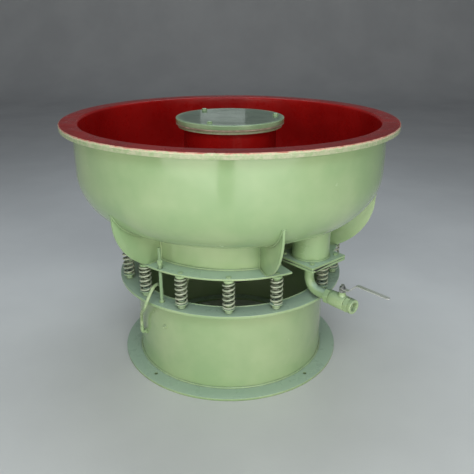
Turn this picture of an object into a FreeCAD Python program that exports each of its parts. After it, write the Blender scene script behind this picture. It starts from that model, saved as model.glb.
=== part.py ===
"""Vibratory bowl tumbler: an annular, lined bowl on fifteen springs over a steel base drum.

Frame: millimetres, +Z up, origin at the centre of the floor flange's underside. Angles round the
machine are bearings: 0 degrees is the front (-Y), positive towards +X.
"""
import FreeCAD, Part
import Sketcher
import math
import os

DRIVING_SIZES = {
    # bowl and rim
    "rim_radius": 600, "rim_top": 927, "rim_lip": 7, "rim_plate": 12,
    "bowl_radius": 558, "bowl_curve": 185, "curve_height": 761, "column_bore": 147,
    "shell_wall": 8, "liner_wall": 14, "lip_round": 10,
    # column head and cover
    "column_top": 905, "head_ring_radius": 190, "head_ring_plate": 10,
    "cover_radius": 197, "cover_gasket": 6, "cover_edge": 16, "cover_plate": 8, "cover_round": 3,
    "cover_bolt_circle": 168, "cover_seat": 150,
    # skirt, spring flange and gusset fins
    "skirt_radius": 351, "skirt_wall": 6, "flange_top": 472, "flange_plate": 7, "flange_radius": 418,
    "fin_plate": 8, "fin_reach": 541, "fin_shoulder": 650, "fin_crown": 682, "fin_edge_curve": 205,
    "fin_toe": 2,
    # base
    "base_radius": 434, "base_plate": 10, "base_inner": 330, "drum_radius": 371, "drum_wall": 6,
    "ring_top": 342, "anchor_circle": 398, "anchor_hole": 7,
    # springs and their seats
    "spring_circle": 405, "spring_radius": 22, "wire_radius": 3.8, "spring_gap": 0.1, "coil_count": 5.4,
    "post_radius": 13.4, "post_rise": 17, "washer_radius": 22.5, "washer_plate": 3,
    "upper_seat_radius": 18, "upper_seat_rise": 8, "thin_head_rise": 3.6,
    "spigot_radius": 12.5, "spigot_rise": 10,
    "bolt_radius": 6, "bolt_clearance": 0.5, "bolt_head": 9.5, "bolt_head_rise": 8, "nut_rise": 10,
    # limit studs
    "stud_circle": 406, "stud_top": 547, "stud_hole": 9, "stop_height": 484,
    # drain
    "drain_circle": 385, "sump_radius": 65, "sump_wall": 5, "drain_hole": 50, "shell_drain_hole": 58,
    "sump_flange_top": 494, "sump_side": 172, "sump_plate": 8, "sump_gasket": 2, "sump_bolt_offset": 62,
    "sump_bolt_radius": 5, "strainer_top": 572, "strainer_plate": 6, "strainer_hole": 4,
    "pipe_radius": 17.5, "pipe_wall": 3.5, "elbow_radius": 48, "outlet_height": 366,
    # ball valve, measured along the outlet from the drain axis
    "valve_start": 82, "valve_socket": 92, "valve_waist": 104, "valve_split": 168, "valve_end": 200,
    "valve_radius": 24, "valve_hex": 22.5, "ball_centre": 148, "ball_radius": 18, "port_radius": 12.5,
    "ball_chamber": 18.5, "seat_bore": 13.9, "seat_depth": 7, "outlet_radius": 15.8, "outlet_depth": 16,
    "stem_radius": 6, "stem_running_gap": 0.05, "valve_neck": 12, "neck_top": 404, "packing_top": 414,
    "stem_top": 430, "tang_width": 4.4, "tang_length": 11.2, "tang_gap": 0.4, "tang_depth": 2.5,
    "tang_root": 0.9, "slot_depth": 3, "ball_end_gap": 1, "valve_chamfer": 2,
    "lever_tip": 327, "lever_tail": 136, "lever_plate": 3, "lever_width": 20, "lever_low": 414.5,
    "lever_high": 446, "lever_bend_start": 176, "lever_bend_end": 204,
    # vibration motor
    "seat_plate_low": 500, "seat_plate": 16, "seat_plate_bore": 136, "sump_clearance": 105,
    "motor_radius": 125, "motor_bore": 105, "motor_low": 420, "motor_high": 760,
    "motor_flange_radius": 185, "motor_flange": 18, "motor_bolt_circle": 165, "motor_bolt": 8,
    "motor_bolt_head": 13.6, "motor_bolt_tail": 14, "motor_nut_rise": 12,
    "rib_height": 8, "rib_width": 5, "rib_low": 508, "rib_high": 750, "rib_root": 2,
    "bell_plate": 20, "bell_web": 16, "bearing_outer": 55, "bearing_depth": 32, "bell_spigot": 8,
    "bell_boss": 70, "bell_boss_lip": 4, "stator_bore": 66, "core_low": 520, "core_high": 660,
    "winding_reach": 40, "winding_inner": 70, "winding_outer": 100, "rotor_radius": 65.2,
    "shaft_radius": 25, "shaft_waist": 32, "shaft_low": 300, "shaft_high": 872, "shaft_hole": 27,
    "inner_race": 34, "outer_race": 46, "roller_circle": 40, "roller_radius": 5.7, "roller_margin": 4,
    # eccentric weights
    "upper_weight_radius": 125, "lower_weight_radius": 140, "weight_hub": 48, "weight_plate": 60,
    "upper_weight_low": 802, "lower_weight_low": 320, "clamp_offset": 36, "clamp_bolt": 8,
    "weight_running_gap": 0.05,
    # wiring
    "lead_radius": 5.75, "gland_height": 138, "elbow_reach": 18, "elbow_rise": 25, "elbow_body": 10,
    "box_inner": 300, "box_outer": 352, "box_half_width": 40, "box_low": 92, "box_high": 184, "box_wall": 3,
    "box_lid": 4, "terminal_outer": 200, "terminal_half_width": 36, "terminal_low": 424,
    "terminal_high": 476, "terminal_wall": 4, "saddle_overlap": 14, "gland_circle": 172, "gland_body": 12,
    "gland_hex": 13.2, "gland_drop": 26, "lock_nut_rise": 6, "lock_nut_hex": 15,
    "earth_height": 218, "earth_bolt": 4, "earth_head": 7, "earth_head_rise": 5, "earth_head_gap": 0.3,
}

# Bearings, in degrees.
SPRING_COUNT = 15
FIRST_SPRING = 55.0
SPRING_STEP = 23.39
STUD_BEARINGS = (-36.0, 90.1, 207.0)
FIN_BEARINGS = (-44.0, 17.0, 72.5, 131.0, 189.0, 252.0)
COVER_BOLT_BEARINGS = (-144.0, -24.0, 96.0)
ANCHOR_BEARING = 44.6
DRAIN_BEARING = 46.3
OUTLET_HEADING = 41.2
FLANGE_NOTCH = (29.5, 51.5)
SKIRT_NOTCH = (29.5, 63.0)
LEAD_ENTRY_BEARING = -61.0
TERMINAL_BEARING = -62.0
EARTH_BEARING = -39.7
LOWER_WEIGHT_LEAD = 90.0
WEIGHT_SECTOR = 170.0

# Counts.
MOTOR_BOLT_COUNT = 8
RIB_COUNT = 20
ROLLER_COUNT = 14

# The strainer's rings of holes: circle radius and number of holes.
STRAINER_RINGS = ((14, 6), (28, 12), (44, 18))

# The motor lead's route from its elbow on the drum, out past the ring's edge, over it and down to
# the motor: (radius, bearing, height).
LEAD_ROUTE = (
    (389, -61.0, 163), (389, -61.0, 200), (406, -54.5, 242), (432, -47.0, 286), (461, -40.0, 330),
    (456, -37.8, 377), (420, -38.8, 406), (380, -41.0, 393), (357, -43.3, 354), (347, -45.5, 304),
    (331, -49.5, 256), (297, -54.5, 225), (252, -59.0, 226), (214, -62.0, 257), (190, -63.0, 303),
    (172, -62.0, 351), (172, -62.0, 398),
)

doc = FreeCAD.newDocument("vibratory_bowl_tumbler")
sheet = doc.addObject("Spreadsheet::Sheet", "Sizes")
Z_AXIS = FreeCAD.Vector(0, 0, 1)


class Size(float):
    """A length that carries its spreadsheet expression as well as its value."""

    def __new__(cls, value, text):
        size = super().__new__(cls, value)
        size.text = text
        return size

    def __add__(self, other):
        return Size(float(self) + float(other), "(%s + %s)" % (self.text, text_of(other)))

    def __sub__(self, other):
        return Size(float(self) - float(other), "(%s - %s)" % (self.text, text_of(other)))

    def __mul__(self, other):
        return Size(float(self) * float(other), "(%s * %s)" % (self.text, text_of(other)))

    def __truediv__(self, other):
        return Size(float(self) / float(other), "(%s / %s)" % (self.text, text_of(other)))

    def __neg__(self):
        return Size(-float(self), "(0 - %s)" % self.text)


def text_of(value):
    """The expression text of a Size or of a plain number."""
    return value.text if isinstance(value, Size) else "%.9g" % value


def fill_sheet():
    """Write every driving size to the sheet and return them as Size values by name."""
    sizes = {}
    for row, (alias, value) in enumerate(DRIVING_SIZES.items(), start=1):
        cell = "A%d" % row
        sheet.set(cell, str(value))
        sheet.setAlias(cell, alias)
        sizes[alias] = Size(value, "Sizes.%s" % alias)
    doc.recompute()
    return sizes


S = fill_sheet()
NODES = []

# Heights and radii that several pieces share.
shell_bottom = S["curve_height"] - S["bowl_curve"]
outer_curve_centre = S["bowl_radius"] - S["bowl_curve"]
inner_curve_centre = S["column_bore"] + S["bowl_curve"]
shell_inner = S["bowl_radius"] - S["shell_wall"]
column_radius = S["column_bore"] + S["shell_wall"]
rim_underside = S["rim_top"] - S["rim_lip"] - S["rim_plate"]
head_ring_low = S["column_top"] - S["head_ring_plate"]
ring_low = S["ring_top"] - S["base_plate"]
drum_inner = S["drum_radius"] - S["drum_wall"]
flange_low = S["flange_top"] - S["flange_plate"]
skirt_inner = S["skirt_radius"] - S["skirt_wall"]
sump_flange_low = S["sump_flange_top"] - S["sump_plate"]
sump_plate_top = sump_flange_low - S["sump_gasket"]
sump_plate_low = sump_plate_top - S["sump_plate"]
motor_flange_low = S["seat_plate_low"] - S["motor_flange"]


# ---------------------------------------------------------------- helpers

def east(radius, bearing):
    """The X of a point at this radius and bearing."""
    value = float(radius) * math.sin(math.radians(bearing))
    return Size(value, "(%s * sin(%.9g))" % (text_of(radius), bearing))


def north(radius, bearing):
    """The Y of a point at this radius and bearing."""
    value = -float(radius) * math.cos(math.radians(bearing))
    return Size(value, "(0 - %s * cos(%.9g))" % (text_of(radius), bearing))


def towards(bearing, base=FreeCAD.Vector()):
    """A placement that turns +X to this bearing."""
    return FreeCAD.Placement(base, FreeCAD.Rotation(Z_AXIS, bearing - 90))


def at_bearing(radius, bearing, height=0.0):
    """A placement at this radius and bearing, turned so that +X points outwards."""
    x = float(east(radius, bearing))
    y = float(north(radius, bearing))
    return towards(bearing, FreeCAD.Vector(x, y, height))


def bind(item, **properties):
    """Bind each named property to its size's expression."""
    for name, size in properties.items():
        item.setExpression(name, text_of(size))


def lift(item, height):
    """Bind an object's height above the floor."""
    item.setExpression(".Placement.Base.z", text_of(height))


def node(item, label):
    """Mark an object as a piece of the machine, under its own name."""
    item.Label = label
    NODES.append(item)
    return item


def origin_feature(body, role):
    """The plane or axis of a body's own origin that has this role."""
    return [feature for feature in body.Origin.OriginFeatures if feature.Role == role][0]


def new_sketch(body, name, plane="XZ_Plane", height=None):
    """A sketch on one of the body's origin planes, raised if asked."""
    sketch = body.newObject("Sketcher::SketchObject", name)
    sketch.AttachmentSupport = [(origin_feature(body, plane), "")]
    sketch.MapMode = "FlatFace"
    if height is not None:
        sketch.setExpression("AttachmentOffset.Base.z", text_of(height))
    return sketch


def pin_point(sketch, edge, end, across, up, rules):
    """List the constraints that hold one end of an edge at its place, with their expressions."""
    for kind, axis, value in (("DistanceX", -2, across), ("DistanceY", -1, up)):
        if float(value) == 0.0:
            rules.append((Sketcher.Constraint("PointOnObject", edge, end, axis), None))
        else:
            rules.append((Sketcher.Constraint(kind, -1, 1, edge, end, float(value)), text_of(value)))


def apply_rules(sketch, rules):
    """Add the constraints together, then bind the ones that have an expression."""
    first = sketch.ConstraintCount
    sketch.addConstraint([rule for rule, _ in rules])
    for index, (_, text) in enumerate(rules):
        if text is not None:
            sketch.setExpression("Constraints[%d]" % (first + index), text)


def arc_between(start, end, radius, side):
    """The arc from start to end, bulging to the left (+1) or right (-1) of its chord."""
    chord = end - start
    half = chord.Length / 2
    rise = math.sqrt(max(radius * radius - half * half, 0.0))
    left = FreeCAD.Vector(-chord.y, chord.x, 0).normalize()
    centre = (start + end) * 0.5 - left * (rise * side)
    first = math.atan2(start.y - centre.y, start.x - centre.x)
    last = math.atan2(end.y - centre.y, end.x - centre.x)
    circle = Part.Circle(centre, Z_AXIS, radius)
    if side > 0:
        return Part.ArcOfCircle(circle, last, first), 2, 1
    return Part.ArcOfCircle(circle, first, last), 1, 2


def draw_outline(sketch, corners):
    """Draw a closed outline. A corner is (across, up) or (across, up, radius, side): the edge that
    leaves it is straight, or an arc of that radius on that side."""
    points = [FreeCAD.Vector(float(corner[0]), float(corner[1]), 0) for corner in corners]
    rules = []
    ends = []
    for index, corner in enumerate(corners):
        start = points[index]
        end = points[(index + 1) % len(points)]
        if len(corner) == 4:
            shape, first_end, last_end = arc_between(start, end, float(corner[2]), corner[3])
        else:
            shape, first_end, last_end = Part.LineSegment(start, end), 1, 2
        edge = sketch.addGeometry(shape)
        ends.append((edge, first_end, last_end))
        if len(corner) == 4:
            rules.append((Sketcher.Constraint("Radius", edge, float(corner[2])), text_of(corner[2])))
    for index, (edge, first_end, _) in enumerate(ends):
        last_edge, _, last_end = ends[index - 1]
        rules.append((Sketcher.Constraint("Coincident", last_edge, last_end, edge, first_end), None))
        pin_point(sketch, edge, first_end, corners[index][0], corners[index][1], rules)
    apply_rules(sketch, rules)


def draw_circles(sketch, circles):
    """Draw circles given as (across, up, radius)."""
    rules = []
    for across, up, radius in circles:
        centre = FreeCAD.Vector(float(across), float(up), 0)
        edge = sketch.addGeometry(Part.Circle(centre, Z_AXIS, float(radius)))
        rules.append((Sketcher.Constraint("Radius", edge, float(radius)), text_of(radius)))
        pin_point(sketch, edge, 3, across, up, rules)
    apply_rules(sketch, rules)


def new_body(name):
    return doc.addObject("PartDesign::Body", name)


def turned(name, corners, plane="XZ_Plane", axis="V_Axis"):
    """A body turned about an axis from an outline."""
    body = new_body(name)
    sketch = new_sketch(body, name + "_outline", plane)
    draw_outline(sketch, corners)
    revolution = body.newObject("PartDesign::Revolution", name + "_turned")
    revolution.Profile = sketch
    revolution.ReferenceAxis = (sketch, [axis])
    revolution.Angle = 360
    body.Tip = revolution
    return body


def padded(name, corners, thickness, plane="XY_Plane", height=None, midplane=False, circles=()):
    """A body padded from an outline, or from circles, or from both."""
    body = new_body(name)
    sketch = new_sketch(body, name + "_outline", plane, height)
    if corners:
        draw_outline(sketch, corners)
    if circles:
        draw_circles(sketch, circles)
    pad = body.newObject("PartDesign::Pad", name + "_pad")
    pad.Profile = sketch
    pad.Midplane = midplane
    bind(pad, Length=thickness)
    body.Tip = pad
    return body


def drilled(body, name, circles, height, depth=None):
    """Cut circles down from a height: right through, or to a depth."""
    sketch = new_sketch(body, name + "_circles", "XY_Plane", height)
    draw_circles(sketch, circles)
    pocket = body.newObject("PartDesign::Pocket", name)
    pocket.Profile = sketch
    if depth is None:
        pocket.Type = "ThroughAll"
    else:
        bind(pocket, Length=depth)
    body.Tip = pocket
    return pocket


def repeated(body, feature, count, angle=360.0):
    """Repeat a body's feature round its own vertical axis."""
    pattern = body.newObject("PartDesign::PolarPattern", feature.Name + "_ring")
    pattern.Originals = [feature]
    pattern.Axis = (origin_feature(body, "Z_Axis"), [""])
    pattern.Angle = angle
    pattern.Occurrences = count
    body.Tip = pattern
    return pattern


def annulus(name, inner, outer, low, thickness):
    """A flat ring as a padded body."""
    return padded(name, None, thickness, height=low, circles=[(0, 0, outer), (0, 0, inner)])


def rod(name, radius, low, length):
    """A plain vertical cylinder."""
    cylinder = doc.addObject("Part::Cylinder", name)
    bind(cylinder, Radius=radius, Height=length)
    lift(cylinder, low)
    return cylinder


def hexagon(name, across_corner_radius, low, length):
    """A vertical hexagonal prism."""
    prism = doc.addObject("Part::Prism", name)
    prism.Polygon = 6
    bind(prism, Circumradius=across_corner_radius, Height=length)
    lift(prism, low)
    return prism


def block(name, length, width, height, corner):
    """A box with its low corner bound at (x, y, z)."""
    box = doc.addObject("Part::Box", name)
    bind(box, Length=length, Width=width, Height=height)
    for axis, value in zip("xyz", corner):
        box.setExpression(".Placement.Base." + axis, text_of(value))
    return box


def cut(name, base, tool):
    result = doc.addObject("Part::Cut", name)
    result.Base = base
    result.Tool = tool
    return result


def fuse(name, pieces):
    result = doc.addObject("Part::MultiFuse", name)
    result.Shapes = pieces
    return result


def group(name, piece, placements):
    """Separate copies of one piece at several placements, as one node."""
    copies = []
    for index, placement in enumerate(placements, start=1):
        link = doc.addObject("App::Link", "%s_%d" % (name, index))
        link.LinkedObject = piece
        link.LinkTransform = True
        link.LinkPlacement = placement
        copies.append(link)
    compound = doc.addObject("Part::Compound", name)
    compound.Links = copies
    return compound


def gather(name, pieces):
    """Several objects as one node of separate solids."""
    compound = doc.addObject("Part::Compound", name)
    compound.Links = pieces
    return compound


def spring_bearings():
    return [FIRST_SPRING + SPRING_STEP * index for index in range(SPRING_COUNT)]


def spring_places():
    return [at_bearing(S["spring_circle"], bearing) for bearing in spring_bearings()]


def wedge(name, low, height, bearings, reach):
    """A pie-shaped cutting tool between two bearings."""
    tool = doc.addObject("Part::Cylinder", name)
    bind(tool, Radius=reach, Height=height)
    tool.Angle = bearings[1] - bearings[0]
    tool.Placement = towards(bearings[0])
    lift(tool, low)
    return tool


def bolt(name, head_low, head_rise, shank_low, shank_length, radius, head_radius):
    """A hexagon-headed bolt with its head and shank as one solid."""
    head = hexagon(name + "_head", head_radius, head_low, head_rise)
    shank = rod(name + "_shank", radius, shank_low, shank_length)
    return fuse(name, [head, shank])


def nut(name, low, rise, radius, hex_radius):
    """A hexagon nut with a plain bore."""
    body = hexagon(name + "_hex", hex_radius, low, rise)
    bore = rod(name + "_bore", radius, low, rise)
    return cut(name, body, bore)


# ---------------------------------------------------------------- base

def make_floor_flange():
    body = annulus("floor_flange", S["base_inner"], S["base_radius"], Size(0, "0"), S["base_plate"])
    hole_at = (east(S["anchor_circle"], ANCHOR_BEARING), north(S["anchor_circle"], ANCHOR_BEARING))
    hole = drilled(body, "anchor_hole", [hole_at + (S["anchor_hole"],)], S["base_plate"])
    repeated(body, hole, 4)
    node(body, "base_floor_flange")


def radial_rod(name, radius, bearing, start, length, height):
    """A horizontal cylinder that points outwards."""
    cylinder = doc.addObject("Part::Cylinder", name)
    bind(cylinder, Radius=radius, Height=length)
    outwards = FreeCAD.Vector(float(east(1, bearing)), float(north(1, bearing)), 0)
    turn = FreeCAD.Rotation(Z_AXIS, outwards)
    cylinder.Placement = FreeCAD.Placement(outwards * float(start) + Z_AXIS * float(height), turn)
    return cylinder


def make_drum():
    tube_rise = ring_low - S["base_plate"]
    outer = rod("drum_outer", S["drum_radius"], S["base_plate"], tube_rise)
    inner = rod("drum_inner", drum_inner, S["base_plate"], tube_rise)
    tube = cut("drum_tube", outer, inner)
    start = drum_inner - S["drum_wall"]
    through = S["drum_wall"] * 3
    lead_hole = radial_rod("lead_hole", S["elbow_body"], LEAD_ENTRY_BEARING,
                           start, through, S["gland_height"])
    earth_hole = radial_rod("earth_hole", S["earth_bolt"], EARTH_BEARING,
                            start, through, S["earth_height"])
    node(cut("drum", tube, fuse("drum_holes", [lead_hole, earth_hole])), "base_drum")


def make_top_ring():
    body = annulus("top_ring", drum_inner, S["base_radius"], ring_low, S["base_plate"])
    clearance = S["bolt_radius"] + S["bolt_clearance"]
    hole_at = (east(S["spring_circle"], FIRST_SPRING), north(S["spring_circle"], FIRST_SPRING))
    hole = drilled(body, "ring_spring_hole", [hole_at + (clearance,)], S["ring_top"])
    repeated(body, hole, SPRING_COUNT, SPRING_STEP * (SPRING_COUNT - 1))
    studs = [(east(S["stud_circle"], bearing), north(S["stud_circle"], bearing), S["bolt_radius"])
             for bearing in STUD_BEARINGS]
    drilled(body, "ring_stud_hole", studs, S["ring_top"])
    node(body, "base_top_ring")


def make_lower_seats():
    """Posts on the base ring, each with a washer that carries a spring and a spigot inside it."""
    washer_low = S["ring_top"] + S["post_rise"]
    washer_top = washer_low + S["washer_plate"]
    spigot_top = washer_top + S["spigot_rise"]
    post = turned("lower_post", [
        (S["bolt_radius"], S["ring_top"]), (S["post_radius"], S["ring_top"]), (S["post_radius"], washer_low),
        (S["washer_radius"], washer_low), (S["washer_radius"], washer_top), (S["spigot_radius"], washer_top),
        (S["spigot_radius"], spigot_top), (S["bolt_radius"], spigot_top),
    ])
    node(group("lower_posts", post, spring_places()), "lower_spring_seats")
    one = bolt("lower_bolt", ring_low - S["bolt_head_rise"], S["bolt_head_rise"],
               ring_low, spigot_top - ring_low, S["bolt_radius"], S["bolt_head"])
    node(group("lower_bolts", one, spring_places()), "lower_seat_bolts")


def make_springs():
    """Helical springs, from the lower washers to the upper seats."""
    low = S["ring_top"] + S["post_rise"] + S["washer_plate"] + S["wire_radius"] + S["spring_gap"]
    high = flange_low - S["upper_seat_rise"] - S["wire_radius"] - S["spring_gap"]
    coil_radius = S["spring_radius"] - S["wire_radius"]
    helix = doc.addObject("Part::Helix", "spring_helix")
    bind(helix, Radius=coil_radius, Height=high - low, Pitch=(high - low) / S["coil_count"])
    lift(helix, low)
    section = doc.addObject("Part::Circle", "spring_section")
    bind(section, Radius=S["wire_radius"])
    section.Placement = FreeCAD.Placement(FreeCAD.Vector(float(coil_radius), 0, float(low)),
                                          FreeCAD.Rotation(FreeCAD.Vector(1, 0, 0), 90))
    wire = doc.addObject("Part::Sweep", "spring_wire")
    wire.Sections = [section]
    wire.Spine = (helix, ["Edge1"])
    wire.Solid = True
    wire.Frenet = True
    node(group("springs", wire, spring_places()), "support_springs")


def make_limit_studs():
    places = [at_bearing(S["stud_circle"], bearing) for bearing in STUD_BEARINGS]
    low = ring_low - S["nut_rise"]
    parts = [rod("stud", S["bolt_radius"], low, S["stud_top"] - low)]
    for name, height in (("under_nut", low), ("ring_nut", S["ring_top"]), ("stop_nut", S["stop_height"]),
                         ("jam_nut", S["stop_height"] + S["nut_rise"])):
        parts.append(nut(name, height, S["nut_rise"], S["bolt_radius"], S["bolt_head"]))
    node(group("stud_stacks", gather("stud_stack", parts), places), "limit_studs")


def make_earth_bolt():
    """The earthing bolt through the drum's wall, with its washer and nut outside."""
    inner_start = drum_inner - S["earth_head_rise"]
    head = radial_rod("earth_head", S["earth_head"], EARTH_BEARING, inner_start,
                      S["earth_head_rise"] - S["earth_head_gap"], S["earth_height"])
    shank = radial_rod("earth_shank", S["earth_bolt"], EARTH_BEARING, inner_start,
                       S["drum_wall"] * 4, S["earth_height"])
    screw = fuse("earth_screw", [head, shank])
    ring = radial_rod("earth_nut_blank", S["earth_head"], EARTH_BEARING, S["drum_radius"],
                      S["drum_wall"], S["earth_height"])
    hole = radial_rod("earth_nut_hole", S["earth_bolt"], EARTH_BEARING, S["drum_radius"],
                      S["drum_wall"], S["earth_height"])
    node(gather("earth_set", [screw, cut("earth_nut", ring, hole)]), "earth_bolt")


# ---------------------------------------------------------------- bowl weldment

def shell_corners():
    inner_curve = S["bowl_curve"] - S["shell_wall"]
    return [
        (S["bowl_radius"], rim_underside), (S["bowl_radius"], S["curve_height"], S["bowl_curve"], 1),
        (outer_curve_centre, shell_bottom), (inner_curve_centre, shell_bottom, S["bowl_curve"], 1),
        (S["column_bore"], S["curve_height"]), (S["column_bore"], head_ring_low),
        (column_radius, head_ring_low), (column_radius, S["curve_height"], inner_curve, -1),
        (inner_curve_centre, shell_bottom + S["shell_wall"]),
        (outer_curve_centre, shell_bottom + S["shell_wall"], inner_curve, -1),
        (shell_inner, S["curve_height"]), (shell_inner, rim_underside),
    ]


def make_shell():
    body = turned("shell", shell_corners())
    at_drain = (east(S["drain_circle"], DRAIN_BEARING), north(S["drain_circle"], DRAIN_BEARING))
    drilled(body, "shell_drain", [at_drain + (S["shell_drain_hole"],)], S["curve_height"])
    node(body, "bowl_shell")


def make_liner():
    wall = S["shell_wall"] + S["liner_wall"]
    inside = S["bowl_radius"] - wall
    curve = S["bowl_curve"] - wall
    lip_low = S["rim_top"] - S["rim_lip"]
    column = S["column_bore"] + wall
    back = S["bowl_curve"] - S["shell_wall"]
    corners = [
        (S["rim_radius"], lip_low), (S["rim_radius"], S["rim_top"]),
        (inside + S["lip_round"], S["rim_top"], S["lip_round"], -1), (inside, S["rim_top"] - S["lip_round"]),
        (inside, S["curve_height"], curve, 1), (outer_curve_centre, shell_bottom + wall),
        (inner_curve_centre, shell_bottom + wall, curve, 1), (column, S["curve_height"]),
        (column, head_ring_low), (column_radius, head_ring_low), (column_radius, S["curve_height"], back, -1),
        (inner_curve_centre, shell_bottom + S["shell_wall"]),
        (outer_curve_centre, shell_bottom + S["shell_wall"], back, -1),
        (shell_inner, S["curve_height"]), (shell_inner, lip_low),
    ]
    body = turned("liner", corners)
    at_drain = (east(S["drain_circle"], DRAIN_BEARING), north(S["drain_circle"], DRAIN_BEARING))
    drilled(body, "liner_drain", [at_drain + (S["drain_hole"],)], S["curve_height"])
    node(body, "bowl_liner")


def make_rim():
    node(annulus("rim", shell_inner, S["rim_radius"], rim_underside, S["rim_plate"]), "rim_flange")


def make_column_head():
    """The ring on the column, its gasket, the cover and its three bolts."""
    ring = annulus("head_ring", S["column_bore"], S["head_ring_radius"], head_ring_low, S["head_ring_plate"])
    bolts = [(east(S["cover_bolt_circle"], bearing), north(S["cover_bolt_circle"], bearing))
             for bearing in COVER_BOLT_BEARINGS]
    drilled(ring, "head_ring_holes", [place + (S["bolt_radius"],) for place in bolts], S["column_top"])
    node(ring, "column_head_ring")

    clearance = S["bolt_radius"] + S["bolt_clearance"]
    gasket = annulus("cover_seal", S["cover_seat"], S["cover_radius"], S["column_top"], S["cover_gasket"])
    gasket_top = S["column_top"] + S["cover_gasket"]
    drilled(gasket, "gasket_holes", [place + (clearance,) for place in bolts], gasket_top)
    node(gasket, "cover_gasket")

    cover_top = gasket_top + S["cover_edge"]
    corners = [
        (Size(0, "0"), cover_top - S["cover_plate"]), (S["cover_seat"], cover_top - S["cover_plate"]),
        (S["cover_seat"], gasket_top), (S["cover_radius"], gasket_top),
        (S["cover_radius"], cover_top - S["cover_round"], S["cover_round"], -1),
        (S["cover_radius"] - S["cover_round"], cover_top), (Size(0, "0"), cover_top),
    ]
    cover = turned("cover", corners)
    drilled(cover, "cover_holes", [place + (clearance,) for place in bolts], cover_top)
    node(cover, "column_cover")

    shank_length = S["head_ring_plate"] + S["cover_gasket"] + S["cover_edge"]
    one = bolt("cover_bolt", cover_top, S["bolt_head_rise"], cover_top - shank_length,
               shank_length, S["bolt_radius"], S["bolt_head"])
    places = [at_bearing(S["cover_bolt_circle"], bearing) for bearing in COVER_BOLT_BEARINGS]
    node(group("cover_bolt_ring", one, places), "cover_bolts")


def make_skirt():
    """The barrel under the bowl, open in front of the drain sump."""
    rise = shell_bottom - S["flange_top"]
    outer = rod("skirt_outer", S["skirt_radius"], S["flange_top"], rise)
    inner = rod("skirt_bore", skirt_inner, S["flange_top"], rise)
    tube = cut("skirt_tube", outer, inner)
    notch = wedge("skirt_notch", S["flange_top"], rise, SKIRT_NOTCH, S["flange_radius"])
    node(cut("skirt", tube, notch), "bowl_skirt")


def make_spring_flange():
    """The ring that the springs push up on, notched for the drain pipe."""
    clearance = S["bolt_radius"] + S["bolt_clearance"]
    body = annulus("upper_ring", skirt_inner, S["flange_radius"], flange_low, S["flange_plate"])
    hole_at = (east(S["spring_circle"], FIRST_SPRING), north(S["spring_circle"], FIRST_SPRING))
    hole = drilled(body, "flange_spring_hole", [hole_at + (clearance,)], S["flange_top"])
    repeated(body, hole, SPRING_COUNT, SPRING_STEP * (SPRING_COUNT - 1))
    studs = [(east(S["stud_circle"], bearing), north(S["stud_circle"], bearing), S["stud_hole"])
             for bearing in STUD_BEARINGS]
    drilled(body, "flange_stud_hole", studs, S["flange_top"])
    notch = wedge("flange_notch", flange_low, S["flange_plate"], FLANGE_NOTCH, S["rim_radius"])
    node(cut("flange", body, notch), "spring_flange")


def make_bowl_envelope():
    """The bowl's outside as a filled solid, which trims what is welded under it."""
    corners = [
        (S["bowl_radius"], S["rim_top"]), (S["bowl_radius"], S["curve_height"], S["bowl_curve"], 1),
        (outer_curve_centre, shell_bottom), (inner_curve_centre, shell_bottom, S["bowl_curve"], 1),
        (S["column_bore"], S["curve_height"]), (S["column_bore"], S["rim_top"]),
    ]
    return turned("bowl_envelope", corners)


def make_fins(envelope):
    """Six gusset fins, each trimmed to the bowl's outside."""
    toe = S["flange_radius"] - S["fin_toe"]
    corners = [
        (S["skirt_radius"], S["flange_top"]), (toe, S["flange_top"]),
        (toe, S["flange_top"] + S["fin_toe"], S["fin_edge_curve"], -1), (S["fin_reach"], S["fin_shoulder"]),
        (S["fin_reach"], S["fin_crown"]), (outer_curve_centre, S["fin_crown"]),
        (outer_curve_centre, shell_bottom), (S["skirt_radius"], shell_bottom),
    ]
    for number, bearing in enumerate(FIN_BEARINGS, start=1):
        plate = padded("fin_plate_%d" % number, corners, S["fin_plate"], plane="XZ_Plane", midplane=True)
        fin = cut("fin_%d" % number, plate, turned_copy(envelope, "fin_trim_%d" % number, bearing))
        fin.Placement = towards(bearing)
        node(fin, "gusset_fin_%d" % number)


def turned_copy(source, name, bearing):
    """A link to a round tool, for use inside a piece that is itself turned to a bearing."""
    link = doc.addObject("App::Link", name)
    link.LinkedObject = source
    link.LinkPlacement = FreeCAD.Placement(FreeCAD.Vector(), FreeCAD.Rotation(Z_AXIS, bearing))
    return link


def make_upper_seats():
    """Discs under the spring flange, each with a spigot inside its spring."""
    face = flange_low - S["upper_seat_rise"]
    spigot_low = face - S["spigot_rise"]
    disc = turned("upper_disc", [
        (S["bolt_radius"], flange_low), (S["upper_seat_radius"], flange_low), (S["upper_seat_radius"], face),
        (S["spigot_radius"], face), (S["spigot_radius"], spigot_low), (S["bolt_radius"], spigot_low),
    ])
    node(group("upper_discs", disc, spring_places()), "upper_spring_seats")
    one = bolt("upper_bolt", S["flange_top"], S["thin_head_rise"], spigot_low,
               S["flange_top"] - spigot_low, S["bolt_radius"], S["bolt_head"])
    node(group("upper_bolts", one, spring_places()), "upper_seat_bolts")


# ---------------------------------------------------------------- drain

def drain_place():
    return at_bearing(S["drain_circle"], DRAIN_BEARING)


def square_plate(name, low, thickness, hole_radius):
    """A square plate round the drain axis, with a centre hole and four bolt holes."""
    half = S["sump_side"] / 2
    offset = S["sump_bolt_offset"]
    corners = [(-half, -half), (half, -half), (half, half), (-half, half)]
    bolt_hole = S["sump_bolt_radius"] + S["bolt_clearance"]
    circles = [(offset * sx, offset * sy, bolt_hole) for sx in (-1, 1) for sy in (-1, 1)]
    circles.append((0, 0, hole_radius))
    return padded(name, corners, thickness, height=low, circles=circles)


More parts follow.
